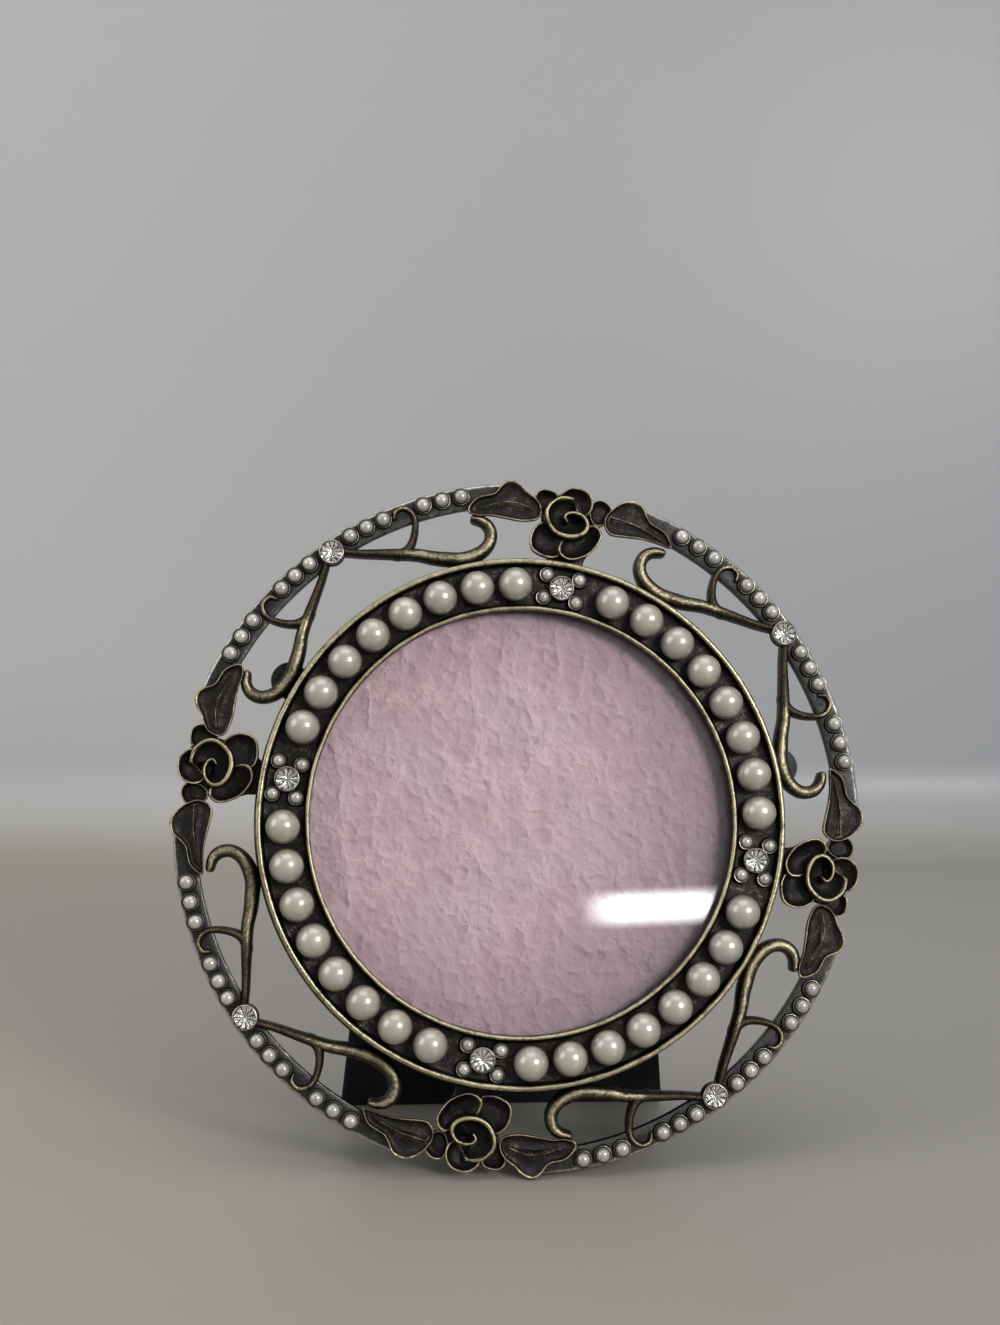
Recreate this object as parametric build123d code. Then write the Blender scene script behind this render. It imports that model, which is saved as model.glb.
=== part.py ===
from build123d import *
import os
from math import asin, cos, degrees, radians, sin, sqrt

# Round openwork picture frame that leans on a velvet easel leg. Lengths are millimetres, angles degrees.
# Each piece is first drawn face up: X to the right, Y up the frame, Z out of its front, with the middle
# of the pearl ring at the origin and the tops of its two rims at Z = 0. A depth is measured back from
# there. The pieces are then stood up, so that the front faces -Y and the lowest points rest on Z = 0.

# Stance: how far the front tips back, and how far the round castings are turned clockwise in the easel
lean = 13.3
roll = 10.0
pearl_ring_turn = 0.74

# Pearl ring: a channel between two thin rims, on a deeper casting that holds the glass and the back
sight_r = 44.5
inner_rim_w = 1.0
channel_w = 9.0
outer_rim_w = 1.2
rim_round = 0.45
channel_depth = 2.2
channel_draft = 0.25
floor_t = 1.2
ring_depth = 9.4
flange_w = 0.7
flange_depth = 6.2

# Stack behind the sight opening
glass_t = 1.6
paper_t = 0.3
card_t = 1.6
stack_lap = 3.0
stack_gap = 0.3
panel_t = 2.5
panel_ledge_w = 6.0
panel_gap = 0.3
panel_round = 0.6

# Large pearls in the channel, a group of them in each quarter
pearl_side_gap = 0.86
pearl_space = 0.9
pearls_per_quarter = 8

# Small pearls and faceted stones in turned cups
small_pearl_d = 3.0
pearl_seat_share = 0.6
cup_wall = 0.4
cup_rise = 0.8
stone_r = 2.3
collet_wall = 0.4
collet_rise = 1.9
stone_seat = 1.1
stone_proud = 0.8
stone_sides = 8
stone_girdle_share = 0.35
crown_slope = 40

# Cluster of a stone and four small pearls between the groups of large pearls
cluster_reach = 3.5
cluster_rise = 2.5

# Outer band, across the openwork from the pearl ring and set back from its rims, with its small pearls
# and stones
openwork_w = 12.2
band_w = 4.9
band_depth = 7.0
band_round = 0.4
band_end_turn = 11.5
band_pearl_share = 0.56
band_stone_share = 0.39
band_group_starts = (4.3, 18.1)
band_group_steps = (3.2, 3.4)
band_group_size = 3

# Castings between the pearl ring and the outer edge of the band
stem_rise = 1.4
hook_rise = 1.2
stem_shoulder_share = 0.35
leaf_t = 1.8
leaf_dish = 0.9
rose_foot_t = 2.4

# Outlines of those castings. A point is an angle from the casting's own axis, in degrees, and a share
# of the way from the pearl ring to the outer edge of the band. A width is a share of that same way.
stem_route_shares = (
    (2.4, 0.72), (5.2, 0.59), (9.4, 0.44), (14.1, 0.31), (17.0, 0.21), (19.5, 0.14), (22.6, 0.09),
    (25.7, 0.11), (28.1, 0.18), (29.4, 0.30), (29.3, 0.43), (28.2, 0.51), (26.9, 0.55),
)
stem_width_shares = (0.09, 0.13, 0.15, 0.17, 0.19, 0.20, 0.19, 0.16, 0.14, 0.11)
hook_route_shares = (
    (11.0, 0.38), (13.5, 0.45), (15.1, 0.57), (16.0, 0.74), (15.6, 0.84), (14.7, 0.90), (13.8, 0.89),
    (13.3, 0.84),
)
hook_width_shares = (0.14, 0.10, 0.09, 0.09, 0.08, 0.08, 0.07)
crest_width_share = 0.36

broad_leaf_outer_shares = (
    (19.4, 0.65), (18.7, 0.75), (17.3, 0.84), (14.9, 0.85), (13.9, 0.88), (13.0, 0.96), (12.0, 1.02),
    (10.8, 1.02), (9.5, 0.96), (8.3, 0.86), (6.6, 0.80),
)
broad_leaf_inner_shares = ((5.2, 0.55), (8.1, 0.49), (10.2, 0.49), (13.1, 0.54), (15.6, 0.58), (19.4, 0.65))
slim_leaf_outer_shares = (
    (19.5, 0.66), (18.7, 0.72), (17.2, 0.81), (15.7, 0.82), (13.8, 0.84), (12.8, 0.91), (11.7, 1.01),
    (10.0, 1.03), (8.8, 1.00), (7.7, 0.91), (6.2, 0.82),
)
slim_leaf_inner_shares = ((6.4, 0.54), (7.9, 0.49), (10.4, 0.53), (13.2, 0.59), (16.9, 0.64), (19.5, 0.66))
leaf_dish_share = 0.82

# Petals: angle, share of the way out, then radius and height over the casting's back as shares too
petal_shares = (
    (5.0, 0.745, 0.164, 0.19),
    (-5.0, 0.755, 0.172, 0.19),
    (-3.3, 0.350, 0.262, 0.21),
    (0.3, 0.785, 0.216, 0.24),
    (1.9, 0.355, 0.277, 0.24),
    (-0.9, 0.590, 0.284, 0.30),
)
petal_rim_share = 0.88
petal_bowl_share = 1.5
rose_foot_turn = 5.6
rose_foot_share = 0.3
spiral_shares = (
    (-0.2, 0.835), (-2.3, 0.82), (-4.1, 0.75), (-4.9, 0.64), (-4.6, 0.51), (-3.0, 0.38), (-0.6, 0.335),
    (1.9, 0.365), (3.0, 0.44), (3.1, 0.54), (2.0, 0.63), (0.5, 0.66), (-0.9, 0.64), (-1.4, 0.57),
)
spiral_width_shares = (0.05, 0.065, 0.065, 0.06, 0.05)
spiral_rise = 0.3
spiral_wall = 2.0

# Turn buttons on the back, and the two fixed lugs that hold the panel's lower edge
button_turn = 68.4
button_pivot_share = 0.09
button_r = 4.0
button_t = 1.0
button_gap = 0.3
tongue_l = 7.6
tongue_w = 5.0
screw_r = 1.1
screw_shoulder_r = 1.7
screw_head_r = 2.0
screw_head_t = 0.8
screw_depth = 2.4
slot_w = 0.5
slot_depth = 0.4
running_gap = 0.05
lug_turn = 120
lug_w = 6.0
lug_lap = 2.2
lug_t = 1.0

# Easel leg and its stop hinge. The leg is drawn folded flat against the panel, then opened.
leg_spread = 25.4
leg_foot_w = 75.0
leg_top_w = 56.0
leg_t = 2.6
leg_gap = 0.4
leg_corner_r = 3.0
leg_top_gap = 0.9
foot_spare = 0.6
pin_up = 20.0
hinge_shift = -1.4
pin_r = 0.8
knuckle_wall = 0.8
knuckle_w = 6.0
knuckle_gap = 0.2
hinge_w = 26.0
plate_t = 0.8
plate_l = 13.0
plate_gap = 0.3
stop_w = 8.0
stop_gap = 0.1
rivet_r = 0.8
rivet_head_r = 1.6
rivet_head_t = 0.6
rivet_bite = 1.6
rivet_spread = 16.0
rivet_end_gap = 4.0

# Worked out from the sizes above
channel_in_r = sight_r + inner_rim_w
channel_out_r = channel_in_r + channel_w
ring_r = channel_out_r + outer_rim_w
flange_r = ring_r + flange_w
pearl_ring_r = (channel_in_r + channel_out_r) / 2
pearl_r = channel_w / 2 - pearl_side_gap
pearl_pitch = degrees((2 * pearl_r + pearl_space) / pearl_ring_r)
small_pearl_r = small_pearl_d / 2
cup_r = small_pearl_r + cup_wall
collet_r = stone_r + collet_wall
band_in_r = flange_r + openwork_w
band_out_r = band_in_r + band_w
reach = band_out_r - flange_r
glass_front = channel_depth + floor_t
paper_front = glass_front + glass_t
card_front = paper_front + paper_t
panel_front = card_front + card_t
panel_back = panel_front + panel_t
stack_r = sight_r + stack_lap
pocket_r = stack_r + stack_gap
recess_r = pocket_r + panel_ledge_w
panel_r = recess_r - panel_gap
button_front = ring_depth + button_gap
button_back = button_front + button_t
knuckle_r = pin_r + knuckle_wall
leg_front = panel_back + leg_gap
leg_back = leg_front + leg_t
pin_depth = leg_back + plate_t - knuckle_r
mid_knuckle_w = hinge_w - 2 * knuckle_w - 2 * knuckle_gap
quarter = 90
diagonal = quarter / 2
sides = ("top", "right", "bottom", "left")
corners = ("upper_right", "lower_right", "lower_left", "upper_left")
clockwise_ends = ("right", "lower", "left", "upper")
counter_ends = ("left", "upper", "right", "lower")
hands = (-1, 1)


def spot(turn, share):
    """Point at an angle clockwise from the casting's axis and a share of the way out."""
    distance = flange_r + share * reach
    return Vector(distance * sin(radians(turn)), distance * cos(radians(turn)))


def around(turn, radius, depth=0):
    """Place at an angle clockwise from the top, on a circle, at a depth."""
    return Rot(Z=-turn) * Pos(0, radius, -depth)


def slab(face, front, back):
    """Flat piece of an outline, between two depths."""
    return Pos(0, 0, -back) * extrude(face, back - front)


def disc(radius, front, back):
    """Round plate between two depths."""
    return slab(Circle(radius), front, back)


def revolved(outline, corner_depth, corner_round, arc=360):
    """Ring of an outline of radii and depths, with the corners at one depth rounded."""
    face = make_face(Polyline(*[(radius, -depth) for radius, depth in outline], close=True))
    tops = [v for v in face.vertices() if abs(v.Y + corner_depth) < corner_round / 2]
    return revolve(Plane.XZ * fillet(tops, corner_round), Axis.Z, arc)


def width_at(widths, along):
    """Width between the listed ones, which are spread evenly along the route."""
    place = along * (len(widths) - 1)
    first = min(int(place), len(widths) - 2)
    part = place - first
    return (widths[first] * (1 - part) + widths[first + 1] * part) * reach


def ribbon_face(route, widths, factor):
    """Outline of a tapering bar with rounded ends that follows a route."""
    spine = Spline(*route)
    steps = 2 * len(route)
    left, right = [], []
    for step in range(steps + 1):
        point, tangent = spine @ (step / steps), spine % (step / steps)
        offset = Vector(-tangent.Y, tangent.X) * (width_at(widths, step / steps) * factor / 2)
        left.append(point + offset)
        right.append(point - offset)
    nose = spine @ 1 + (spine % 1) * (width_at(widths, 1) * factor / 2)
    tail = spine @ 0 - (spine % 0) * (width_at(widths, 0) * factor / 2)
    edges = [
        Spline(*left),
        ThreePointArc(left[-1], nose, right[-1]),
        Spline(*reversed(right)),
        ThreePointArc(right[0], tail, left[0]),
    ]
    return make_face(edges)


def ribbon(route_shares, widths, hand, back, crest):
    """Cast bar: flat back, upright sides up to a shoulder, then sloping in to a narrow crest."""
    route = [spot(hand * turn, share) for turn, share in route_shares]
    full = ribbon_face(route, widths, 1)
    top = ribbon_face(route, widths, crest_width_share)
    shoulder = crest + (back - crest) * stem_shoulder_share
    return loft([Pos(0, 0, -back) * full, Pos(0, 0, -shoulder) * full, Pos(0, 0, -crest) * top], ruled=True)


def pearl(radius):
    """Flat-backed pearl that stands on Z = 0."""
    cut = degrees(asin(pearl_seat_share))
    return Sphere(radius, arc_size1=-cut, align=(Align.CENTER, Align.CENTER, Align.MIN))


def stone():
    """Faceted round stone that stands on Z = 0."""
    height = collet_rise + stone_proud - stone_seat
    girdle = height * stone_girdle_share
    outline = RegularPolygon(stone_r, stone_sides)
    return extrude(outline, girdle) + extrude(Pos(0, 0, girdle) * outline, height - girdle, taper=crown_slope)


def cup(depth):
    """Low wall round a small pearl that stands at a depth."""
    return slab(Circle(cup_r) - Circle(small_pearl_r), depth - cup_rise, depth)


def collet(depth, back):
    """Wall and seat of a stone, rising from a depth and rooted further back."""
    return disc(collet_r, depth - collet_rise, back) - disc(stone_r, depth - collet_rise, depth - stone_seat)


def cluster_places():
    """Places of the four small pearls of a cluster, from the middle of its stone."""
    return [Pos(x, y) for x in (-cluster_reach, cluster_reach) for y in (-cluster_rise, cluster_rise)]


def band_pearl_turns():
    """Angles of the small pearls on one band, from its stone."""
    groups = zip(band_group_starts, band_group_steps)
    half = [start + i * step for start, step in groups for i in range(band_group_size)]
    return [hand * turn for hand in hands for turn in half]


def make_ring():
    """Casting of the pearl ring, with its clusters' cups and the fixed lugs on its back."""
    outline = (
        (sight_r, glass_front), (sight_r, 0), (channel_in_r, 0), (channel_in_r + channel_draft, channel_depth),
        (channel_out_r - channel_draft, channel_depth), (channel_out_r, 0), (ring_r, 0),
        (ring_r, flange_depth - flange_w), (flange_r, flange_depth), (flange_r, ring_depth),
        (recess_r, ring_depth), (recess_r, panel_front), (pocket_r, panel_front), (pocket_r, glass_front),
    )
    ring = revolved(outline, 0, rim_round)
    for side in range(len(sides)):
        place = around(quarter * side, pearl_ring_r)
        ring += place * collet(channel_depth, channel_depth + floor_t / 2)
        for corner in cluster_places():
            ring += place * corner * cup(channel_depth)
    for hand in hands:
        lug_in_r = recess_r - lug_lap
        block = Pos(0, (lug_in_r + ring_r) / 2) * Rectangle(lug_w, ring_r - lug_in_r)
        lug = slab(block, ring_depth, button_front + lug_t) - disc(recess_r, ring_depth, button_front)
        ring += Rot(Z=-hand * lug_turn) * lug
    return ring


def make_band():
    """One quarter of the outer band, centred on its stone, with its cups and collet."""
    half_turn = diagonal - band_end_turn
    outline = ((band_in_r, ring_depth), (band_in_r, band_depth), (band_out_r, band_depth), (band_out_r, ring_depth))
    band = Rot(Z=quarter - half_turn) * revolved(outline, band_depth, band_round, 2 * half_turn)
    for turn in band_pearl_turns():
        band += around(turn, band_in_r + band_w * band_pearl_share) * cup(band_depth)
    stone_place = around(0, band_in_r + band_w * band_stone_share)
    bore = disc(stone_r, band_depth - collet_rise, band_depth - stone_seat)
    return band + stone_place * disc(collet_r, band_depth - collet_rise, ring_depth) - stone_place * bore


def make_scroll(hand):
    """Stem that swings from a stone to the pearl ring and curls back out, with the hook on its back."""
    stem = ribbon(stem_route_shares, stem_width_shares, hand, ring_depth, band_depth - stem_rise)
    hook = ribbon(hook_route_shares, hook_width_shares, hand, ring_depth, band_depth - hook_rise)
    return stem + hook


def leaf_face(outer, inner, hand):
    """Outline of a leaf, from its tip round to its root and back."""
    outer_points = [spot(hand * turn, share) for turn, share in outer]
    inner_points = [spot(hand * turn, share) for turn, share in inner]
    root = Line(outer_points[-1], inner_points[0])
    return make_face([Spline(*outer_points), root, Spline(*inner_points)])


def make_leaf(face):
    """Leaf that lies on the band, dished inside its raised edge."""
    middle = face.center()
    dish = Pos(middle) * scale(Pos(-middle) * face, leaf_dish_share)
    top = band_depth - leaf_t
    return slab(face, top, band_depth) - slab(dish, top, top + leaf_dish)


def make_rose(hand):
    """Rose of cupped petals round a rolled heart, on a foot that meets the pearl ring."""
    corners_of_foot = (
        (-rose_foot_turn, -rose_foot_share), (-rose_foot_turn, rose_foot_share),
        (rose_foot_turn, rose_foot_share), (rose_foot_turn, -rose_foot_share),
    )
    foot = make_face(Polyline(*[spot(turn, share) for turn, share in corners_of_foot], close=True))
    rose = slab(foot, ring_depth - rose_foot_t, ring_depth)
    for turn, share, radius_share, height_share in petal_shares:
        radius = radius_share * reach
        top = ring_depth - height_share * reach
        bowl_r = radius * petal_bowl_share
        bowl_up = sqrt(bowl_r**2 - (radius * petal_rim_share) ** 2) - top
        place = Pos(spot(hand * turn, share))
        rose += place * (disc(radius, top, ring_depth) - Pos(0, 0, bowl_up) * Sphere(bowl_r))
    heart_top = ring_depth - petal_shares[-1][-1] * reach - spiral_rise
    return rose + ribbon(spiral_shares, spiral_width_shares, hand, heart_top + spiral_wall, heart_top)


def make_button():
    """Turn button: a round plate on its screw, with a tongue that laps the back panel."""
    tongue = Pos(0, -tongue_l / 2) * SlotCenterToCenter(tongue_l - tongue_w, tongue_w, rotation=quarter)
    neck = Pos(0, -tongue_l / 2) * Rectangle(tongue_w, tongue_l - tongue_w)
    outline = Circle(button_r) + tongue + neck
    return slab(outline, button_front, button_back) - disc(screw_r + running_gap, button_front, button_back)


def make_screw():
    """Shouldered screw of a turn button, with a slotted head."""
    shank = disc(screw_r, ring_depth - screw_depth, button_back + running_gap)
    shoulder = disc(screw_shoulder_r, ring_depth, button_front - running_gap)
    head_back = button_back + running_gap + screw_head_t
    head = disc(screw_head_r, button_back + running_gap, head_back)
    slot = slab(Rectangle(2 * screw_head_r, slot_w), head_back - slot_depth, head_back)
    return shank + shoulder + head - slot


def bar(width, low, high, front, back, middle=0):
    """Rectangular block between two heights and two depths, centred on a distance to the side."""
    return slab(Pos(middle, (low + high) / 2) * Rectangle(width, high - low), front, back)


def barrel(radius, width, middle=0):
    """Round bar along the hinge, centred on a distance to the side."""
    return Pos(middle, pin_up, -pin_depth) * Rot(Y=quarter) * Cylinder(radius, width)


def rivet_places(height):
    """Places of a pair of rivets."""
    return [Pos(x, height) for x in (-rivet_spread / 2, rivet_spread / 2)]


def make_panel_plate():
    """Hinge plate riveted to the panel, with the two outer knuckles."""
    low = pin_up + knuckle_r + plate_gap
    plate = bar(hinge_w, low, low + plate_l, panel_back, panel_back + plate_t)
    for hand in hands:
        middle = hand * (hinge_w - knuckle_w) / 2
        plate += bar(knuckle_w, pin_up, low, panel_back, pin_depth, middle)
        plate += barrel(knuckle_r, knuckle_w, middle)
    return plate - barrel(pin_r, hinge_w)


def make_leg_plate():
    """Hinge plate riveted to the leg, with the middle knuckle and the stop above it."""
    high = pin_up - knuckle_r - plate_gap
    swing = radians(leg_spread)
    face_gap = pin_depth - panel_back - plate_t
    face_reach = leg_back - pin_depth
    stop_l = (face_gap + face_reach * cos(swing) - stop_gap) / sin(swing)
    plate = bar(hinge_w, high - plate_l, high, leg_back, leg_back + plate_t)
    plate += bar(mid_knuckle_w, high, pin_up, leg_back, leg_back + plate_t)
    plate += bar(stop_w, pin_up, pin_up + stop_l, leg_back, leg_back + plate_t)
    return plate + barrel(knuckle_r, mid_knuckle_w) - barrel(pin_r + running_gap, mid_knuckle_w)


def make_leg(length):
    """Velvet-covered leg board, widening down to a foot with rounded corners."""
    top = pin_up - knuckle_r - leg_top_gap
    foot = pin_up - length
    half_top, half_foot = leg_top_w / 2, leg_foot_w / 2
    outline = Polyline((-half_top, top), (half_top, top), (half_foot, foot), (-half_foot, foot), close=True)
    face = make_face(outline)
    return slab(fillet(face.vertices().group_by(Axis.Y)[0], leg_corner_r), leg_front, leg_back)


def rivets(height, plate_face, bite_depth):
    """Pair of rivets with heads on a plate's outer face."""
    rivet = disc(rivet_r, bite_depth, plate_face) + disc(rivet_head_r, plate_face, plate_face + rivet_head_t)
    return [place * rivet for place in rivet_places(height)]


def rivet_holes(height, front, back):
    """Holes for a pair of rivets."""
    return Part() + [place * disc(rivet_r, front, back) for place in rivet_places(height)]


# The round castings, before they are turned and stood up
ring = make_ring()
band = make_band()
leaf_faces = {}
castings = {"pearl_ring": [ring]}
roses = []
for side, side_name in enumerate(sides):
    rose = make_rose(-hands[side % 2]) - disc(flange_r, 0, ring_depth)
    roses.append(Rot(Z=-quarter * side) * rose)
    castings["rose_" + side_name] = [roses[side]]
for corner, corner_name in enumerate(corners):
    axis_turn = diagonal + quarter * corner
    placed_band = Rot(Z=-axis_turn) * band
    castings["band_" + corner_name] = [placed_band]
    slim = corner % 2 == 0
    outer = slim_leaf_outer_shares if slim else broad_leaf_outer_shares
    inner = slim_leaf_inner_shares if slim else broad_leaf_inner_shares
    for hand in hands:
        side = (corner + (hand + 1) // 2) % len(sides)
        ends = counter_ends if hand > 0 else clockwise_ends
        name = sides[side] + "_" + ends[side]
        face = Rot(Z=-quarter * side) * leaf_face(outer, inner, -hand)
        castings["leaf_" + name] = [make_leaf(face) - roses[side]]
        scroll = Rot(Z=-axis_turn) * make_scroll(hand) - disc(flange_r, 0, ring_depth) - placed_band
        castings["scroll_" + name] = [scroll - slab(face, 0, band_depth)]

button_places = [around(hand * button_turn, flange_r + button_pivot_share * reach) for hand in hands]
for place, name in zip(button_places, ("scroll_left_upper", "scroll_right_upper")):
    castings[name] = [castings[name][0] - place * disc(screw_r, ring_depth - screw_depth, ring_depth)]
castings["button_screws"] = [place * make_screw() for place in button_places]
castings["turn_button_left"] = [button_places[0] * make_button()]
castings["turn_button_right"] = [button_places[1] * make_button()]

# Pearls and stones
first_pearl = -(pearls_per_quarter - 1) / 2
for corner, corner_name in enumerate(corners):
    axis_turn = diagonal + quarter * corner
    turns = [axis_turn + pearl_ring_turn + (first_pearl + i) * pearl_pitch for i in range(pearls_per_quarter)]
    castings["large_pearls_" + corner_name] = [
        around(turn, pearl_ring_r, channel_depth) * pearl(pearl_r) for turn in turns
    ]
    pearl_r_out = band_in_r + band_w * band_pearl_share
    castings["band_pearls_" + corner_name] = [
        around(axis_turn + turn, pearl_r_out, band_depth) * pearl(small_pearl_r) for turn in band_pearl_turns()
    ]
for side, side_name in enumerate(sides):
    place = around(quarter * side, pearl_ring_r, channel_depth)
    castings["cluster_pearls_" + side_name] = [place * corner * pearl(small_pearl_r) for corner in cluster_places()]
castings["cluster_stones"] = [
    around(quarter * side, pearl_ring_r, channel_depth - stone_seat) * stone()
    for side in range(len(sides))
]
castings["band_stones"] = [
    around(diagonal + quarter * corner, band_in_r + band_w * band_stone_share, band_depth - stone_seat) * stone()
    for corner in range(len(corners))
]

# Stand the castings up, and find the height at which their lowest point touches the surface
upright = Rot(X=quarter - lean)
turned = upright * Rot(Z=-roll)
pieces = {name: [turned * solid for solid in group] for name, group in castings.items()}
outermost = [name for name in pieces if name.startswith(("band_", "leaf_", "rose_"))]
height = -min(solid.bounding_box().min.Z for name in outermost for solid in pieces[name])

# The back: glass, insert, card and panel, and the leg on its hinge, open as far as its stop allows
panel_rivet_up = pin_up + knuckle_r + plate_gap + plate_l - rivet_end_gap
leg_rivet_up = pin_up - knuckle_r - plate_gap - plate_l + rivet_end_gap
hinge_place = Pos(hinge_shift, 0, 0)
panel = disc(panel_r, panel_front, panel_back)
panel = fillet(panel.edges().group_by(Axis.Z)[0], panel_round)
panel -= hinge_place * rivet_holes(panel_rivet_up, panel_back - rivet_bite, panel_back)
back = {
    "glass_disc": [disc(stack_r, glass_front, paper_front)],
    "paper_insert": [disc(stack_r, paper_front, card_front)],
    "backing_card": [disc(stack_r, card_front, panel_front)],
    "back_panel": [panel],
}
hinge = {
    "hinge_panel_plate": [make_panel_plate() - rivet_holes(panel_rivet_up, panel_back, panel_back + plate_t)],
    "hinge_pin": [barrel(pin_r, hinge_w)],
    "panel_rivets": rivets(panel_rivet_up, panel_back + plate_t, panel_back - rivet_bite),
}
pin_height = height + pin_up * cos(radians(lean)) - pin_depth * sin(radians(lean))
leg_length = pin_height / cos(radians(leg_spread - lean)) + foot_spare
leg = make_leg(leg_length) - rivet_holes(leg_rivet_up, leg_back - rivet_bite, leg_back)
moving = {
    "easel_leg": [leg],
    "hinge_leg_plate": [make_leg_plate() - rivet_holes(leg_rivet_up, leg_back, leg_back + plate_t)],
    "leg_rivets": rivets(leg_rivet_up, leg_back + plate_t, leg_back - rivet_bite),
}
opened = Pos(0, pin_up, -pin_depth) * Rot(X=leg_spread) * Pos(0, -pin_up, pin_depth)
for place, group in ((upright, back), (upright * hinge_place, hinge), (upright * hinge_place * opened, moving)):
    for name, solids in group.items():
        pieces[name] = [place * solid for solid in solids]

# Lower everything to the surface, cut the foot level with it, and centre the whole on the origin
lifted = {name: [Pos(0, 0, height) * solid for solid in group] for name, group in pieces.items()}
ground_w = 2 * band_out_r
ground = Pos(0, 0, -ground_w / 2) * Box(2 * ground_w, 2 * ground_w, ground_w)
lifted["easel_leg"] = [lifted["easel_leg"][0] - ground]
box = Compound([solid for group in lifted.values() for solid in group]).bounding_box()
centred = Pos(-box.center().X, -box.center().Y, 0)

os.makedirs("parts", exist_ok=True)
for name, group in lifted.items():
    export_step(Compound(children=[centred * solid for solid in group]), "parts/" + name + ".step")

# Places that the joints and the mount need
middle = centred * Pos(0, 0, height)
pin_place = (middle * upright * hinge_place * Pos(0, pin_up, -pin_depth)).position
print("nodes", len(lifted), "box", box.size)
print("ring centre", middle.position, "pin", pin_place, "leg length", leg_length)
for place, name in zip(button_places, ("left", "right")):
    print("button", name, (middle * turned * place * Pos(0, 0, -button_front)).position)
foot_face = (centred * lifted["easel_leg"][0]).faces().sort_by(Axis.Z)[0]
print("foot face", foot_face.center(), foot_face.area)
print("stance of the small parts", height, pearl_r, pearl_pitch, reach)
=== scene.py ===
import random
from math import atan2, cos, pi, radians, sin

import bmesh
import bpy
from mathutils import Matrix, Vector, noise
from mathutils.geometry import intersect_point_line


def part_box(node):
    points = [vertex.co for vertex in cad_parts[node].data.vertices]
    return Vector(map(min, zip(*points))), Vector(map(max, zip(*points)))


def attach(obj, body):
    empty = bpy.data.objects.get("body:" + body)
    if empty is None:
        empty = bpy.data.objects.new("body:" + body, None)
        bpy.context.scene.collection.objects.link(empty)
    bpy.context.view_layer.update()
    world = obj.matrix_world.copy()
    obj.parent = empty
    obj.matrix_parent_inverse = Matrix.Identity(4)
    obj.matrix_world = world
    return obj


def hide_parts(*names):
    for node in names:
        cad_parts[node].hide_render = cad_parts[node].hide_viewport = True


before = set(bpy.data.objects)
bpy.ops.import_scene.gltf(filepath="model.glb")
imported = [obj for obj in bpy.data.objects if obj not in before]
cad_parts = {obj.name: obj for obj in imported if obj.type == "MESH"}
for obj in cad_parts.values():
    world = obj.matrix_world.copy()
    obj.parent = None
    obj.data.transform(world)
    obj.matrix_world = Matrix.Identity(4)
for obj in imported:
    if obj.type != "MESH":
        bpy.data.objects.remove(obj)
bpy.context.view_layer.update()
print("frame loaded:", len(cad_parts), "nodes")

# Pieces are drawn in millimetres, face up: X to the right, Y up the frame, Z out of its front, with the
# middle of the pearl ring at the origin and the tops of its rims at Z = 0. Then they are stood up.
mm = 0.001
stance = {"lean": 13.3, "roll": 10.0, "pearlTurn": 0.74, "glassMiddle": 4.2}
sideNames = ("top", "right", "bottom", "left")
cornerNames = ("upper_right", "lower_right", "lower_left", "upper_left")
clockwiseEnds = ("right", "lower", "left", "upper")
counterEnds = ("left", "upper", "right", "lower")

lean = radians(stance["lean"])
glassLow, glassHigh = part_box("glass_disc")
faceNormal = Vector((0, -cos(lean), sin(lean)))
ringCentre = (glassLow + glassHigh) / 2 + faceNormal * stance["glassMiddle"] * mm
upright = Matrix.Translation(ringCentre) @ Matrix.Rotation(pi / 2 - lean, 4, "X") @ Matrix.Scale(mm, 4)


def turned(angle):
    return Matrix.Rotation(-radians(angle), 4, "Z")  # clockwise, as seen from the front


castings = upright @ turned(stance["roll"])
flipped = Matrix.Scale(-1, 4, (1, 0, 0))
unmoved = Matrix.Identity(4)


def sidePlace(side):
    return turned(90 * side) @ (unmoved if side % 2 == 0 else flipped)


def atTurn(angle, radius, height):
    return turned(angle) @ Matrix.Translation((0, radius, height))


# Mesh helpers
def newMesh():
    bm = bmesh.new()
    bm.verts.layers.float.new("rubAndShade")  # how far the patina is rubbed off; on the pearls it sets painted shade towards the seat, on the stone foil painted reflection along the pleats
    bm.verts.layers.float.new("along")  # distance along a bar, or a tone of its own for each pearl
    bm.verts.layers.int.new("home")
    return bm


def asShape(bm, name="shape"):
    shape = bpy.data.meshes.new(name)
    bm.to_mesh(shape)
    bm.free()
    return shape


def newObject(name, data):
    made = bpy.data.objects.new(name, data)
    bpy.context.scene.collection.objects.link(made)
    return made


def stamp(bm, shape, place, tone=None):
    known = len(bm.verts)
    bm.from_mesh(shape)
    bm.verts.ensure_lookup_table()
    fresh = bm.verts[known:]
    bmesh.ops.transform(bm, matrix=place, verts=fresh)
    if tone is not None:
        alongLayer = bm.verts.layers.float["along"]
        for vert in fresh:
            vert[alongLayer] = tone


def finishPiece(name, bm, material, nodes, place=castings, body="frame", rounds=0, sharp=45):
    bmesh.ops.transform(bm, matrix=place, verts=bm.verts)
    bmesh.ops.recalc_face_normals(bm, faces=bm.faces)
    mesh = asShape(bm, name)
    mesh.shade_smooth()
    if not rounds:
        mesh.set_sharp_from_angle(angle=radians(sharp))
    mesh.materials.append(material)
    piece = newObject(name, mesh)
    if rounds:
        rounding = piece.modifiers.new("rounding", "SUBSURF")
        rounding.levels = rounding.render_levels = rounds
    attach(piece, body)
    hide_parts(*nodes)


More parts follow.
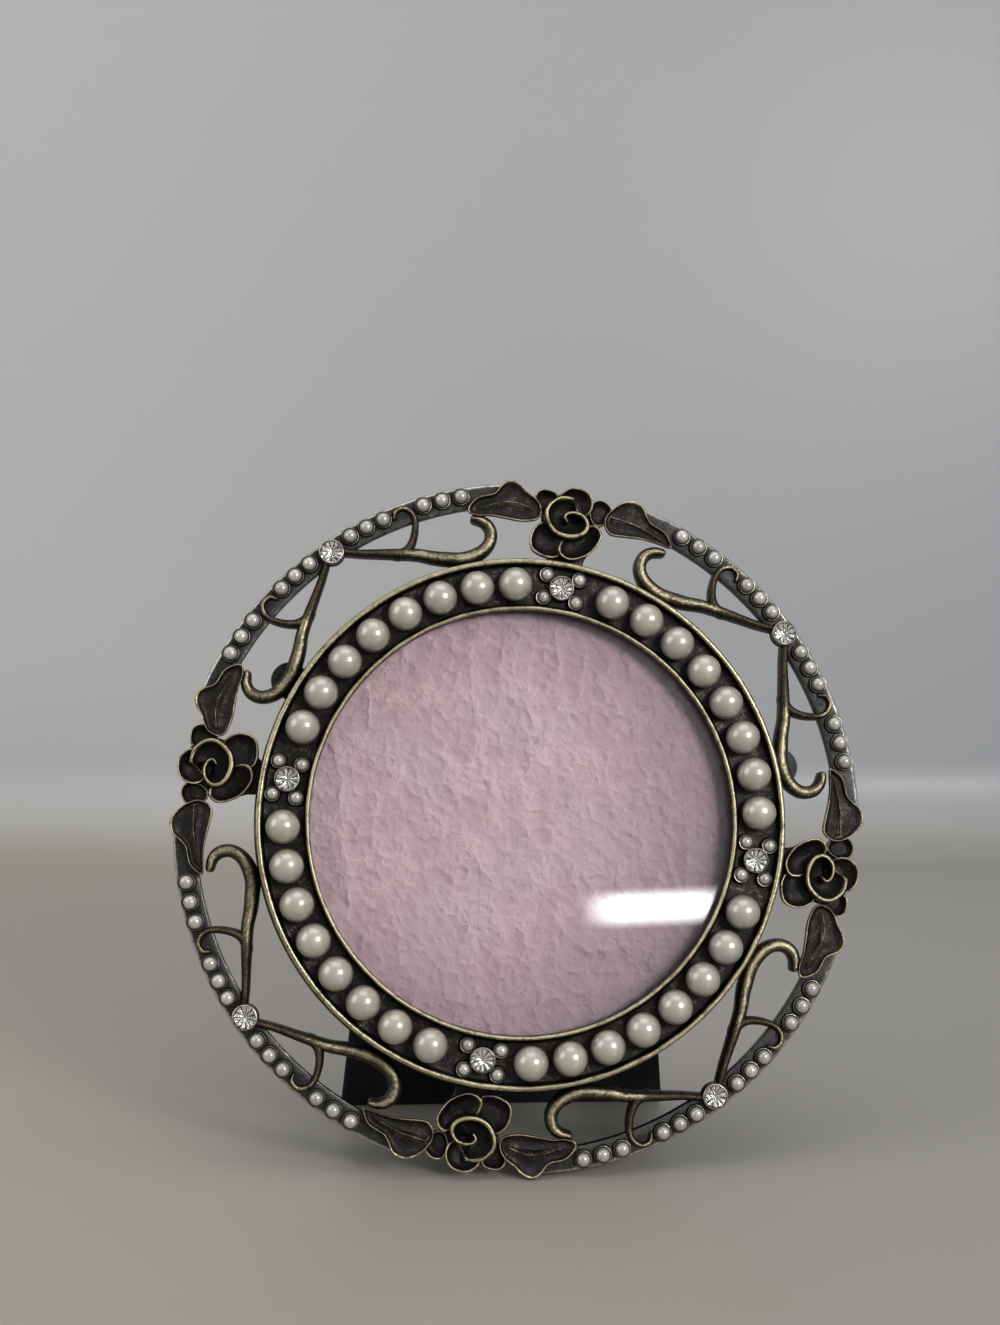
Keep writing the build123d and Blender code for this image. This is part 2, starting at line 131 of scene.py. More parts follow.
def flow(points, steps, closed=False):
    # Smooth line through given points, however many values each point has
    count = len(points)
    line = []
    for i in range(count if closed else count - 1):
        picks = [(i + k) % count if closed else min(max(i + k, 0), count - 1) for k in (-1, 0, 1, 2)]
        a, b, c, d = (Vector(points[p]) for p in picks)
        for step in range(steps):
            t = step / steps
            line.append((2 * b + (c - a) * t + (2 * a - 5 * b + 4 * c - d) * t**2
                         + (3 * b - a - 3 * c + d) * t**3) / 2)
    if not closed:
        line.append(Vector(points[-1]))
    return line


def addVert(bm, spot, rubAndShade):
    vert = bm.verts.new(spot)
    vert[bm.verts.layers.float["rubAndShade"]] = rubAndShade
    return vert


def closeRing(bm, ring):
    edges = [bm.edges.new(pair) for pair in zip(ring, ring[1:] + ring[:1])]
    bm.faces.new(ring)
    return edges


def ringEdges(geometry):
    verts = {g for g in geometry if isinstance(g, bmesh.types.BMVert)}
    edges = [g for g in geometry if isinstance(g, bmesh.types.BMEdge) and set(g.verts) <= verts]
    return list(verts), edges


def pulled(bm, edges):
    return ringEdges(bmesh.ops.extrude_edge_only(bm, edges=edges)["geom"])


def lathe(bm, outline, steps, closed=True):
    # Outline points are (radius, height, rub)
    start = [addVert(bm, (radius, 0, height), rubAndShade) for radius, height, rubAndShade in outline]
    pairs = list(zip(start, start[1:])) + ([(start[-1], start[0])] if closed else [])
    edges = [bm.edges.new(pair) for pair in pairs]
    bmesh.ops.spin(bm, geom=start + edges, cent=(0, 0, 0), axis=(0, 0, 1), dvec=(0, 0, 0), angle=2 * pi,
                   steps=steps, use_merge=True)
    bmesh.ops.remove_doubles(bm, verts=bm.verts, dist=0.001)
    return bm


def mirrored(*half):
    # Section of (across, up, rub) from its left half, with a point on the middle used once
    return half + tuple((-across, up, rubAndShade) for across, up, rubAndShade in reversed(half) if across)


barEnd = {"angles": (30, 55, 75), "flat": 0.72, "fall": 0.28}


def sweep(bm, section, route, back, crest):
    # Bar along a flat route of (x, y, width), or (x, y, width, crest) where the crest changes
    alongLayer = bm.verts.layers.float["along"]
    stations = []
    travelled = 0
    for i, point in enumerate(route):
        after, before = route[min(i + 1, len(route) - 1)], route[max(i - 1, 0)]
        heading = Vector((after[0] - before[0], after[1] - before[1])).normalized()
        if i:
            travelled += (point.xy - route[i - 1].xy).length
        stations.append((point.xy, heading, point[2], point[3] if len(point) > 3 else crest, travelled))
    ends = []
    for index, way in ((0, -1), (-1, 1)):
        spot, heading, width, top, distance = stations[index]
        caps = []
        for angle in barEnd["angles"]:
            reach = way * sin(radians(angle)) * width / 2
            slim = cos(radians(angle))
            capTop = back + (top - back) * (barEnd["flat"] + barEnd["fall"] * slim)
            caps.append((spot + heading * reach, heading, width * slim, capTop, distance + reach))
        ends.append(caps)
    stations = ends[0][::-1] + stations + ends[1]
    places = []
    for spot, heading, width, top, distance in stations:
        place = Matrix.Identity(4)
        place.col[0] = (-heading.y * width / 2, heading.x * width / 2, 0, 0)
        place.col[1] = (heading.x, heading.y, 0, 0)
        place.col[2] = (0, 0, top - back, 0)
        place.col[3] = (spot.x, spot.y, back, 1)
        places.append((place, distance))
    ring = []
    for across, up, rubAndShade in section:
        ring.append(addVert(bm, places[0][0] @ Vector((across, 0, up)), rubAndShade))
        ring[-1][alongLayer] = places[0][1]
    edges = closeRing(bm, ring)
    for (before, _), (after, distance) in zip(places, places[1:]):
        verts, edges = pulled(bm, edges)
        bmesh.ops.transform(bm, matrix=after @ before.inverted(), verts=verts)
        for vert in verts:
            vert[alongLayer] = distance
    bmesh.ops.contextual_create(bm, geom=edges)


def roundOff(bm, edges, offset, segments):
    bmesh.ops.bevel(bm, geom=edges, offset=offset, offset_type="OFFSET", affect="EDGES", segments=segments,
                    profile=0.5, material=-1)


def nearest(point, spine):
    spots = []
    for a, b in zip(spine, spine[1:]):
        spot, share = intersect_point_line(point, Vector(a), Vector(b))
        spots.append(Vector(a).lerp(Vector(b), min(max(share, 0), 1)))
    return min(spots, key=lambda spot: (spot - point).length)


def cupForm(bm, outline, spine, back, levels):
    # Closed form with a rim: outline points are (x, y, rim height). A level is (share of the way to the
    # spine, share of the way from the rim down to the back, rub)
    rubLayer = bm.verts.layers.float["rubAndShade"]
    homeLayer = bm.verts.layers.int["home"]
    homes = [point.xy for point in outline]
    goals = [nearest(home, spine) for home in homes] if len(spine) > 1 else [Vector(spine[0])] * len(homes)

    def settle(verts, share, drop, rubAndShade):
        for vert in verts:
            home = vert[homeLayer]
            spot = homes[home].lerp(goals[home], share)
            rim = outline[home].z
            vert.co = (spot.x, spot.y, rim + (back - rim) * drop)
            vert[rubLayer] = rubAndShade

    ring = []
    for index in range(len(outline)):
        vert = bm.verts.new()
        vert[homeLayer] = index
        ring.append(vert)
    settle(ring, *levels[0])
    edges = closeRing(bm, ring)
    for level in levels[1:]:
        verts, edges = pulled(bm, edges)
        settle(verts, *level)
    bmesh.ops.contextual_create(bm, geom=edges)


# Material helpers
def shade(red, green, blue):
    # Screen colour of 0 to 255 as the linear one that the shaders take
    return tuple(((c / 255 + 0.055) / 1.055) ** 2.4 if c > 10 else c / 255 / 12.92 for c in (red, green, blue)) + (1,)


def addNode(tree, kind, settings=None, inputs=None):
    node = tree.nodes.new("ShaderNode" + kind)
    for key, value in (settings or {}).items():
        setattr(node, key, value)
    for key, value in (inputs or {}).items():
        if isinstance(value, bpy.types.NodeSocket):
            tree.links.new(value, node.inputs[key])
        else:
            node.inputs[key].default_value = value
    return node


def blendColours(tree, share, first, second):
    return addNode(tree, "Mix", {"data_type": "RGBA"}, {0: share, 6: first, 7: second}).outputs[2]


def sums(tree, operation, first, second=0.0, third=0.0, clamp=False):
    return addNode(tree, "Math", {"operation": operation, "use_clamp": clamp},
                   {0: first, 1: second, 2: third}).outputs[0]


def ranged(tree, value, fromLow, fromHigh, toLow=0.0, toHigh=1.0):
    return addNode(tree, "MapRange", {"interpolation_type": "SMOOTHSTEP"},
                   {"Value": value, "From Min": fromLow, "From Max": fromHigh, "To Min": toLow,
                    "To Max": toHigh}).outputs["Result"]


def noiseOf(tree, vector, scale, detail=3.0, roughness=0.55, distortion=0.0):
    return addNode(tree, "TexNoise", None, {"Vector": vector, "Scale": scale, "Detail": detail,
                                            "Roughness": roughness, "Distortion": distortion}).outputs[0]


def vectors(tree, operation, first, second=(0, 0, 0), third=(0, 0, 0), output=0):
    return addNode(tree, "VectorMath", {"operation": operation}, {0: first, 1: second, 2: third}).outputs[output]


def feed(tree, shader, socket, value):
    tree.links.new(value, shader.inputs[socket])


def objectCoords(tree):
    return addNode(tree, "TexCoord").outputs["Object"]


def attributeOf(tree, name):
    return addNode(tree, "Attribute", {"attribute_name": name}).outputs["Fac"]


def toned(tree, value, low, high, first, second):
    # From the first colour to the second, as the value goes from low to high
    return blendColours(tree, ranged(tree, value, low, high), first, second)


def axesOf(tree, vector):
    return addNode(tree, "SeparateXYZ", None, {0: vector}).outputs


def newGroup(name, inputs, outputs):
    group = bpy.data.node_groups.new(name, "ShaderNodeTree")
    for socketName, value in inputs.items():
        kind = "NodeSocketColor" if isinstance(value, tuple) else "NodeSocketFloat"
        group.interface.new_socket(name=socketName, in_out="INPUT", socket_type=kind).default_value = value
    for socketName, kind in outputs.items():
        group.interface.new_socket(name=socketName, in_out="OUTPUT", socket_type="NodeSocket" + kind)
    return group, group.nodes.new("NodeGroupInput").outputs, group.nodes.new("NodeGroupOutput")


def useGroup(tree, group, inputs):
    return addNode(tree, "Group", {"node_tree": group}, inputs).outputs


def newMaterial(name, settings=None):
    material = bpy.data.materials.new(name)
    material.use_nodes = True
    tree = material.node_tree
    shader = tree.nodes["Principled BSDF"]
    for key, value in (settings or {}).items():
        shader.inputs[key].default_value = value
    return material, tree, shader


def bumped(tree, shader, height, distance, strength=1.0):
    bump = addNode(tree, "Bump", None, {"Height": height, "Distance": distance, "Strength": strength})
    feed(tree, shader, "Normal", bump.outputs[0])


def seeThrough(tree, shader, mask):
    # Transparent where the mask is 1
    through = addNode(tree, "BsdfTransparent").outputs[0]
    mixed = addNode(tree, "MixShader", None, {0: mask, 1: shader.outputs[0], 2: through}).outputs[0]
    tree.links.new(mixed, tree.nodes["Material Output"].inputs["Surface"])


# Antique finish: dark patina in the hollows, with painted shade where ambient occlusion finds the surface closed in,
# rubbed pale where the rub attribute is high
wearAndShade = {"reach": 1.6, "blotchShare": 1.4, "grainShare": 1.7, "openShare": 0.3, "copperShare": 0.6,
        "dullRough": 0.40, "rubbedRough": 0.24, "dullMetal": 0.78}


def wornAndShadedMetalGroup():
    group, given, out = newGroup("wornAndShadedMetal", {
        "Rub": 0, "Hollow": shade(20, 18, 16), "Body": shade(70, 62, 50), "Edge": shade(190, 176, 148),
        "Copper": shade(98, 76, 58), "Blotch": 420, "Grain": 1700, "Uneven": 0.5,
    }, {"Color": "Color", "Roughness": "Float", "Metallic": "Float", "Height": "Float"})
    coords = objectCoords(group)
    blotch = noiseOf(group, coords, given["Blotch"], 4, 0.6)
    grain = noiseOf(group, coords, given["Grain"], 4, 0.75)
    # Ambient occlusion: how open the surface is, used for the wear and for the painted shade
    hollow = addNode(group, "AmbientOcclusion", {"samples": 6}, {"Distance": wearAndShade["reach"] * mm}).outputs["AO"]
    openness = ranged(group, hollow, 0.35, 0.95)
    speckle = sums(group, "ADD", sums(group, "MULTIPLY", sums(group, "SUBTRACT", blotch, 0.5), wearAndShade["blotchShare"]),
                   sums(group, "MULTIPLY", sums(group, "SUBTRACT", grain, 0.5), wearAndShade["grainShare"]))
    bare = sums(group, "MULTIPLY_ADD", openness, wearAndShade["openShare"], 1 - wearAndShade["openShare"])
    wornAndShaded = sums(group, "MULTIPLY_ADD", speckle, given["Uneven"],
                sums(group, "MULTIPLY", given["Rub"], bare), True)
    tinted = blendColours(group, ranged(group, blotch, 0.46, 0.62, 0, wearAndShade["copperShare"]), given["Body"],
                          given["Copper"])
    lower = toned(group, wornAndShaded, 0.05, 0.5, given["Hollow"], tinted)
    colour = toned(group, wornAndShaded, 0.55, 1.05, lower, given["Edge"])
    # Painted shade: the colour is pulled up to halfway to the hollow tone where the surface is closed in
    paintedHollowShade = blendColours(group, sums(group, "MULTIPLY_ADD", openness, -0.5, 0.5), colour, given["Hollow"])
    roughness = sums(group, "ADD", ranged(group, wornAndShaded, 0, 0.9, wearAndShade["dullRough"], wearAndShade["rubbedRough"]),
                     sums(group, "MULTIPLY", grain, 0.12))
    feed(group, out, "Color", paintedHollowShade)
    feed(group, out, "Roughness", roughness)
    feed(group, out, "Metallic", ranged(group, wornAndShaded, 0, 0.5, wearAndShade["dullMetal"], 1))
    feed(group, out, "Height", sums(group, "MULTIPLY_ADD", blotch, 0.5, sums(group, "MULTIPLY", grain, 0.6)))
    return group


wornAndShadedMetal = wornAndShadedMetalGroup()


def linkWear(tree, shader, finish, rubAndShade):
    # Puts the finish on the shader, and gives back its height
    parts = useGroup(tree, wornAndShadedMetal, {"Rub": rubAndShade, **finish})
    for output, socket in (("Color", "Base Color"), ("Roughness", "Roughness"), ("Metallic", "Metallic")):
        feed(tree, shader, socket, parts[output])
    return parts["Height"]


def castMaterial(name, bump, finish, stripes=None):
    material, tree, shader = newMaterial(name)
    rubAndShade = attributeOf(tree, "rubAndShade")
    if stripes:
        fuller = ranged(tree, attributeOf(tree, "along"), stripes["fadeFrom"], stripes["fadeTo"], 0.42, 0.95)
        rubAndShade = sums(tree, "MULTIPLY", rubAndShade, fuller)
    height = linkWear(tree, shader, finish, rubAndShade)
    if stripes:
        along = attributeOf(tree, "along")
        wave = sums(tree, "SINE", sums(tree, "MULTIPLY", along, 2 * pi / stripes["pitch"]))
        mask = ranged(tree, along, stripes["fadeFrom"], stripes["fadeTo"], 1, 0)
        height = sums(tree, "MULTIPLY_ADD", sums(tree, "MULTIPLY", wave, mask), stripes["depth"], height)
    bumped(tree, shader, height, bump * mm)
    return material


def finishOf(hollow, body, copper, edge, uneven=0.5):
    tones = {"Hollow": hollow, "Body": body, "Copper": copper, "Edge": edge}
    return {**{key: shade(*tone) for key, tone in tones.items()}, "Uneven": uneven}


stemBrass = castMaterial("stemBrass", 0.2, finishOf(
    (36, 34, 31), (86, 78, 63), (86, 71, 57), (174, 163, 135), 0.8),
    {"pitch": 0.5, "fadeFrom": 9, "fadeTo": 15, "depth": 0.18})
roseBrass = castMaterial("roseBrass", 0.2, finishOf(
    (35, 33, 33), (80, 76, 68), (73, 67, 61), (186, 173, 138), 1))
greyBrass = castMaterial("greyBrass", 0.12, finishOf(
    (38, 38, 39), (78, 77, 76), (64, 62, 61), (196, 193, 185), 0.6))
cupBrass = castMaterial("cupBrass", 0.06, finishOf(
    (32, 32, 32), (78, 76, 72), (70, 67, 61), (172, 167, 152)))
colletBrass = castMaterial("colletBrass", 0.05, finishOf(
    (42, 40, 37), (112, 106, 92), (104, 95, 80), (206, 199, 180)))
ringFinish = finishOf((33, 31, 31), (100, 93, 79), (88, 79, 68), (189, 178, 147), 0.9)


# Channel of the pearl ring: the same finish with brush lines that run outwards
def channelMaterial():
    settings = {"lines": 110, "depth": 0.45, "shine": 0.5, "bump": 0.12}
    material, tree, shader = newMaterial("ringBrass")
    coords = objectCoords(tree)
    centred = addNode(tree, "Mapping", {"vector_type": "TEXTURE"}, {
        "Vector": coords, "Location": ringCentre, "Rotation": (pi / 2 - lean, 0, 0)}).outputs[0]
    flat = vectors(tree, "MULTIPLY", centred, (1, 1, 0))
    outwards = vectors(tree, "NORMALIZE", flat)
    streaks = noiseOf(tree, outwards, settings["lines"], 3, 0.75)
    breaks = ranged(tree, noiseOf(tree, coords, 800, 3, 0.6), 0.45, 0.6)
    lines = sums(tree, "MULTIPLY", ranged(tree, streaks, 0.55, 0.68), breaks)
    rubAndShade = sums(tree, "MULTIPLY_ADD", lines, settings["shine"], attributeOf(tree, "rubAndShade"))
    height = linkWear(tree, shader, ringFinish, rubAndShade)
    bumped(tree, shader, sums(tree, "MULTIPLY_ADD", streaks, settings["depth"], height), settings["bump"] * mm)
    return material


ringBrass = channelMaterial()


def pearlMaterial(name, look):
    material, tree, shader = newMaterial(name, {
        "Roughness": look["roughness"], "Metallic": look["metallic"], "Coat Weight": 1, "Coat Roughness": 0.17,
        "Coat IOR": 1.5, "Specular IOR Level": 0.6})
    coords = objectCoords(tree)
    cloud = noiseOf(tree, coords, look["cloud"], 2, 0.5, 0.8)
    nacre = noiseOf(tree, coords, look["nacre"], 4, 0.6)
    tone = attributeOf(tree, "along")
    colour = toned(tree, cloud, 0.38, 0.64, look["cool"], look["warm"])
    colour = blendColours(tree, tone, colour, look["deep"])
    # Painted shade: darker towards the seat, from the rub attribute that falls to nothing at the pearl's equator
    wornAndShaded = sums(tree, "POWER", sums(tree, "SUBTRACT", 1, attributeOf(tree, "rubAndShade"), 0, True), look["seatCurve"])
    colour = blendColours(tree, wornAndShaded, colour, look["seat"])
    feed(tree, shader, "Base Color", colour)
    bumped(tree, shader, nacre, 0.05 * mm, 0.35)
    return material


largePearl = pearlMaterial("largePearl", {
    "roughness": 0.30, "metallic": 0.35, "cloud": 260, "nacre": 1500,
    "cool": shade(192, 188, 176), "warm": shade(207, 201, 184), "deep": shade(186, 180, 168),
    "seat": shade(130, 125, 117), "seatCurve": 0.85})
smallPearl = pearlMaterial("smallPearl", {
    "roughness": 0.28, "metallic": 0.35, "cloud": 500, "nacre": 2400,
    "cool": shade(190, 188, 183), "warm": shade(212, 206, 194), "deep": shade(168, 165, 159),
    "seat": shade(86, 84, 78), "seatCurve": 2})


def clearMaterial(name, settings):
    # Clear piece that lamps light through
    material, tree, shader = newMaterial(name, {"Transmission Weight": 1, **settings})
    seeThrough(tree, shader, addNode(tree, "LightPath").outputs["Is Shadow Ray"])
    return material


clearGlass = clearMaterial("clearGlass", {"Base Color": (0.97, 0.985, 0.98, 1), "Roughness": 0, "IOR": 1.5})
clearStone = clearMaterial("clearStone", {"Base Color": (1, 1, 1, 1), "Roughness": 0, "IOR": 1.5})


def foilMaterial():
    # Mirror behind a stone, with dark rays painted along its pleats: painted reflection of the stone's facets
    material, tree, shader = newMaterial("stoneFoil", {"Metallic": 1, "Roughness": 0.12})
    coords = objectCoords(tree)
    age = ranged(tree, noiseOf(tree, coords, 900, 2), 0.45, 0.7, 0, 0.2)
    paintedRays = sums(tree, "ADD", ranged(tree, attributeOf(tree, "rubAndShade"), 0.58, 0.95), age, 0, True)
    feed(tree, shader, "Base Color", blendColours(tree, paintedRays, shade(252, 250, 244), shade(34, 33, 32)))
    return material


stoneFoil = foilMaterial()


# Crinkled paper: flat facets between ragged creases
def paperMaterial():
    look = {"low": shade(156, 127, 136), "high": shade(169, 142, 150), "lilac": shade(157, 139, 148),
            "edge": shade(122, 104, 110), "paintedRimShadow": shade(84, 70, 74), "brightest": (-0.012, 0, 0.005),
            "relief": 1, "slant": radians(42), "stretch": (1, 1, 0.6), "crease": 2.2, "sway": 300,
            "broad": 300, "large": (215, 0.0040), "small": (400, 0.0026), "fibre": 1700, "patch": 38}
    material, tree, shader = newMaterial("pinkPaper", {"Roughness": 0.8, "Specular IOR Level": 0.25})
    coords = objectCoords(tree)
    slanted = addNode(tree, "Mapping", None, {
        "Vector": coords, "Rotation": (0, look["slant"], 0), "Scale": look["stretch"]}).outputs[0]

    sway = addNode(tree, "TexNoise", None, {"Vector": coords, "Scale": look["sway"], "Detail": 3}).outputs[1]

    def facets(vector, scale, bend):
        # Flat patches that rise to straight creases
        bent = vectors(tree, "MULTIPLY_ADD", sway, (bend,) * 3, vector)
        near = addNode(tree, "TexVoronoi", {"feature": "F1"}, {"Vector": bent, "Scale": scale}).outputs["Distance"]
        return sums(tree, "POWER", near, look["crease"])

    broad = noiseOf(tree, slanted, look["broad"], 3, 0.6, 0.5)
    large = facets(slanted, *look["large"])
    small = facets(coords, *look["small"])
    fibre = noiseOf(tree, coords, look["fibre"], 4, 0.7)
    folds = sums(tree, "MULTIPLY_ADD", large, 0.8, sums(tree, "MULTIPLY", small, 0.4))
    height = sums(tree, "ADD", folds, sums(tree, "MULTIPLY_ADD", broad, 0.45, sums(tree, "MULTIPLY", fibre, 0.07)))
    patch = noiseOf(tree, coords, look["patch"], 2)
    colour = toned(tree, folds, 0.05, 0.6, look["low"], look["high"])
    colour = blendColours(tree, ranged(tree, patch, 0.45, 0.65, 0, 0.6), colour, look["lilac"])
    # Painted shadow: the paper darkens towards the ring's rim, most on the right, away from a brightest point left of
    # the middle
    brightest = tuple(ringCentre + Vector(look["brightest"]))
    away = vectors(tree, "DISTANCE", coords, brightest, output="Value")
    colour = toned(tree, away, 0.022, 0.060, colour, look["edge"])
    colour = toned(tree, away, 0.050, 0.062, colour, look["paintedRimShadow"])
    feed(tree, shader, "Base Color", colour)
    bumped(tree, shader, height, look["relief"] * mm)
    return material


pinkPaper = paperMaterial()


def velvetMaterial():
    material, tree, shader = newMaterial("blackVelvet", {
        "Roughness": 0.92, "Sheen Weight": 0.55, "Sheen Roughness": 0.35, "Sheen Tint": shade(120, 120, 128),
        "Specular IOR Level": 0.15})
    coords = objectCoords(tree)
    pile = noiseOf(tree, coords, 4200, 3, 0.7)
    nap = noiseOf(tree, coords, 90, 3, 0.6, 0.6)
    colour = toned(tree, nap, 0.35, 0.65, shade(16, 16, 18), shade(31, 31, 35))
    feed(tree, shader, "Base Color", toned(tree, pile, 0.4, 0.7, colour, shade(42, 42, 47)))
    bumped(tree, shader, sums(tree, "MULTIPLY_ADD", pile, 0.5, nap), 0.25 * mm, 0.8)
    return material


blackVelvet = velvetMaterial()


def plainMaterial(name, look):
    # Plated or painted metal, or card: two tones and a fine grain
    material, tree, shader = newMaterial(name, {"Metallic": look["metallic"]})
    coords = objectCoords(tree)
    drawn = addNode(tree, "Mapping", None, {"Vector": coords, "Scale": look["stretch"]}).outputs[0]
    grain = noiseOf(tree, drawn, look["grain"], 4, 0.65)
    patch = noiseOf(tree, coords, 220, 3)
    mixed = sums(tree, "MULTIPLY_ADD", grain, 0.5, sums(tree, "MULTIPLY", patch, 0.5))
    feed(tree, shader, "Base Color", toned(tree, mixed, 0.38, 0.62, look["low"], look["high"]))
    feed(tree, shader, "Roughness", ranged(tree, grain, 0.3, 0.7, look["roughness"] - 0.07, look["roughness"] + 0.07))
    bumped(tree, shader, grain, 0.03 * mm)
    return material


plainLooks = {
    "hingeSteel": {"metallic": 1, "roughness": 0.34, "low": shade(128, 124, 112), "high": shade(172, 168, 156),
                   "grain": 900, "stretch": (0.12, 1, 1), "nodes": (
                       "hinge_panel_plate", "hinge_pin", "hinge_leg_plate", "panel_rivets", "leg_rivets",
                       "button_screws")},
    "darkButton": {"metallic": 0.9, "roughness": 0.42, "low": shade(30, 31, 36), "high": shade(52, 54, 60),
                   "grain": 1500, "stretch": (1, 1, 1), "nodes": ("turn_button_left", "turn_button_right")},
    "greyCard": {"metallic": 0, "roughness": 0.85, "low": shade(148, 138, 122), "high": shade(168, 158, 142),
                 "grain": 1200, "stretch": (1, 1, 1), "nodes": ("backing_card",)},
}


def dress(nodeName, material):
    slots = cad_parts[nodeName].data.materials
    slots.clear()
    slots.append(material)


for lookName, look in plainLooks.items():
    material = plainMaterial(lookName, look)
    for nodeName in look["nodes"]:
        dress(nodeName, material)
dress("glass_disc", clearGlass)
print("materials made")

# Pearl ring: rims, channel and pocket in one turned outline of (radius, height, rub)
ring = {
    "outline": (
        (44.55, -3.4, 0.05), (44.5, -2.2, 0.05), (44.48, -1, 0.2), (44.52, -0.42, 0.6), (44.66, -0.12, 0.95),
        (44.95, 0, 1), (45.2, -0.08, 0.95), (45.4, -0.3, 0.6), (45.5, -0.7, 0.15), (45.62, -1.7, 0),
        (45.85, -2.08, 0), (46.2, -2.2, 0.05), (48, -2.2, 0.08), (50, -2.22, 0.05), (52, -2.2, 0.08),
        (53.8, -2.2, 0.05), (54.15, -2.08, 0), (54.34, -1.7, 0), (54.42, -0.7, 0.15), (54.52, -0.3, 0.65),
        (54.72, -0.07, 0.97), (55, 0, 1), (55.3, -0.04, 1), (55.55, -0.22, 0.9), (55.68, -0.5, 0.6),
        (55.7, -1, 0.22), (55.7, -3, 0.12), (55.7, -5.5, 0.15), (56.1, -5.9, 0.5), (56.4, -6.25, 0.45),
        (56.4, -9.1, 0.12), (56.2, -9.35, 0.45), (55.9, -9.4, 0.4), (54.1, -9.4, 0.35), (53.8, -9.3, 0.3),
        (53.75, -6.9, 0), (47.8, -6.9, 0), (47.8, -3.4, 0),
    ),
    "steps": 300,
    "rimFrom": -0.9, "unevenness": 0.05, "asideWave": 0.45, "upWave": 0.7,
    "lugs": ((51.6, 53.9, -9.7), (53.8, 55.7, -9.3)), "lugTurn": 120, "lugWidth": 6.0, "lugBack": -10.7,
}


def buildRing():
    bm = lathe(newMesh(), ring["outline"], ring["steps"])
    for vert in bm.verts:
        if vert.co.z > ring["rimFrom"]:  # the rims are a little uneven, as cast
            vert.co += vert.co.normalized() * noise.noise(vert.co * ring["asideWave"]) * ring["unevenness"]
            vert.co.z += noise.noise(vert.co * ring["upWave"] + Vector((7, 3, 1))) * ring["unevenness"]
    back = ring["lugBack"]
    for hand in (-1, 1):
        for low, high, front in ring["lugs"]:
            size = Matrix.Diagonal((ring["lugWidth"], high - low, front - back, 1))
            place = atTurn(hand * ring["lugTurn"], (low + high) / 2, (front + back) / 2)
            bmesh.ops.create_cube(bm, size=1, matrix=place @ size)
    finishPiece("pearlRing", bm, ringBrass, ["pearl_ring"], sharp=50)


buildRing()

# Small turned shapes: a pearl's cup, a stone's collet, and the pearls
cupOutline = (
    (1.5, -0.1, 0), (1.53, 0.55, 0), (1.6, 0.72, 0.35), (1.7, 0.8, 0.8), (1.82, 0.78, 0.85), (1.92, 0.62, 0.4),
    (1.97, 0.3, 0.1), (2.05, 0, 0.1), (2.05, -0.2, 0), (1.5, -0.2, 0),
)
clusterCupOutline = (
    (1.2, -0.1, 0), (1.33, 0.7, 0), (1.34, 1, 0.3), (1.42, 1.14, 0.8), (1.56, 1.16, 0.9), (1.7, 1.02, 0.5),
    (1.8, 0.6, 0.15), (1.88, 0.15, 0.1), (2, -0.2, 0), (1.2, -0.2, 0),
)
colletOutline = (
    (2.34, 0.4, 0.1), (2.38, 1.55, 0.3), (2.38, 1.84, 0.7), (2.46, 1.93, 0.95), (2.58, 1.9, 0.95), (2.68, 1.76, 0.7),
    (2.73, 1.4, 0.3), (2.77, 0.5, 0.15), (2.86, 0.1, 0.1), (2.95, -0.3, 0), (2.34, -0.3, 0),
)
cupShape, clusterCup, colletShape = (asShape(lathe(newMesh(), outline, steps)) for outline, steps in (
    (cupOutline, 32), (clusterCupOutline, 32), (colletOutline, 40)))
pearls = {"largeRadius": 3.64, "smallRadius": 1.5, "seatShare": 0.6, "pitch": 9.3736, "perQuarter": 8,
          "ringRadius": 50.0, "floor": -2.2, "tilt": 0.4, "seed": 10, "toneSpread": 0.6}


def pearlShape(radius, segments, seatShare):
    bm = newMesh()
    bmesh.ops.create_uvsphere(bm, u_segments=segments, v_segments=segments // 2 + 2, radius=radius,
                              matrix=Matrix.Rotation(pearls["tilt"], 4, "X"))
    rubLayer = bm.verts.layers.float["rubAndShade"]
    for vert in bm.verts:
        vert[rubLayer] = max(0, vert.co.z / radius)  # painted shade: the colour darkens from the top down to the equator, and the lower half takes the seat tone
    bmesh.ops.translate(bm, vec=(0, 0, radius * seatShare), verts=bm.verts)
    return asShape(bm)


largeShape = pearlShape(pearls["largeRadius"], 44, pearls["seatShare"])
smallShape = pearlShape(pearls["smallRadius"], 26, pearls["seatShare"])

# Faceted stone: rings of corners, joined by their convex hull
gem = {
    "top": ((1.32, 0.80, 8, 0), (1.86, 0.47, 8, 22.5), (2.36, 0.05, 16, 0)),
    "bottom": ((2.36, -0.04, 16, 0), (2.15, -0.3, 16, 0)),
    "foil": ((2.38, -0.06, 0), (1.5, -0.55, 0), (0.75, -0.92, 0), (0.05, -1.15, 0), (1.3, -1.2, 0),
             (2.38, -0.5, 0)),
    "girdleRise": 1.86, "foilRadius": 2.38, "pleats": 11, "pleat": 0.17, "bend": 0.5, "twist": 11, "twistStep": 17,
}


def gemShape():
    bm = newMesh()
    for radius, height, corners, turn in gem["top"] + gem["bottom"]:
        bmesh.ops.create_circle(bm, segments=corners, radius=radius,
                                matrix=Matrix.Translation((0, 0, height)) @ turned(turn))
    bmesh.ops.convex_hull(bm, input=bm.verts)
    bmesh.ops.dissolve_limit(bm, angle_limit=radians(1.5), verts=bm.verts, edges=bm.edges)
    return asShape(bm)


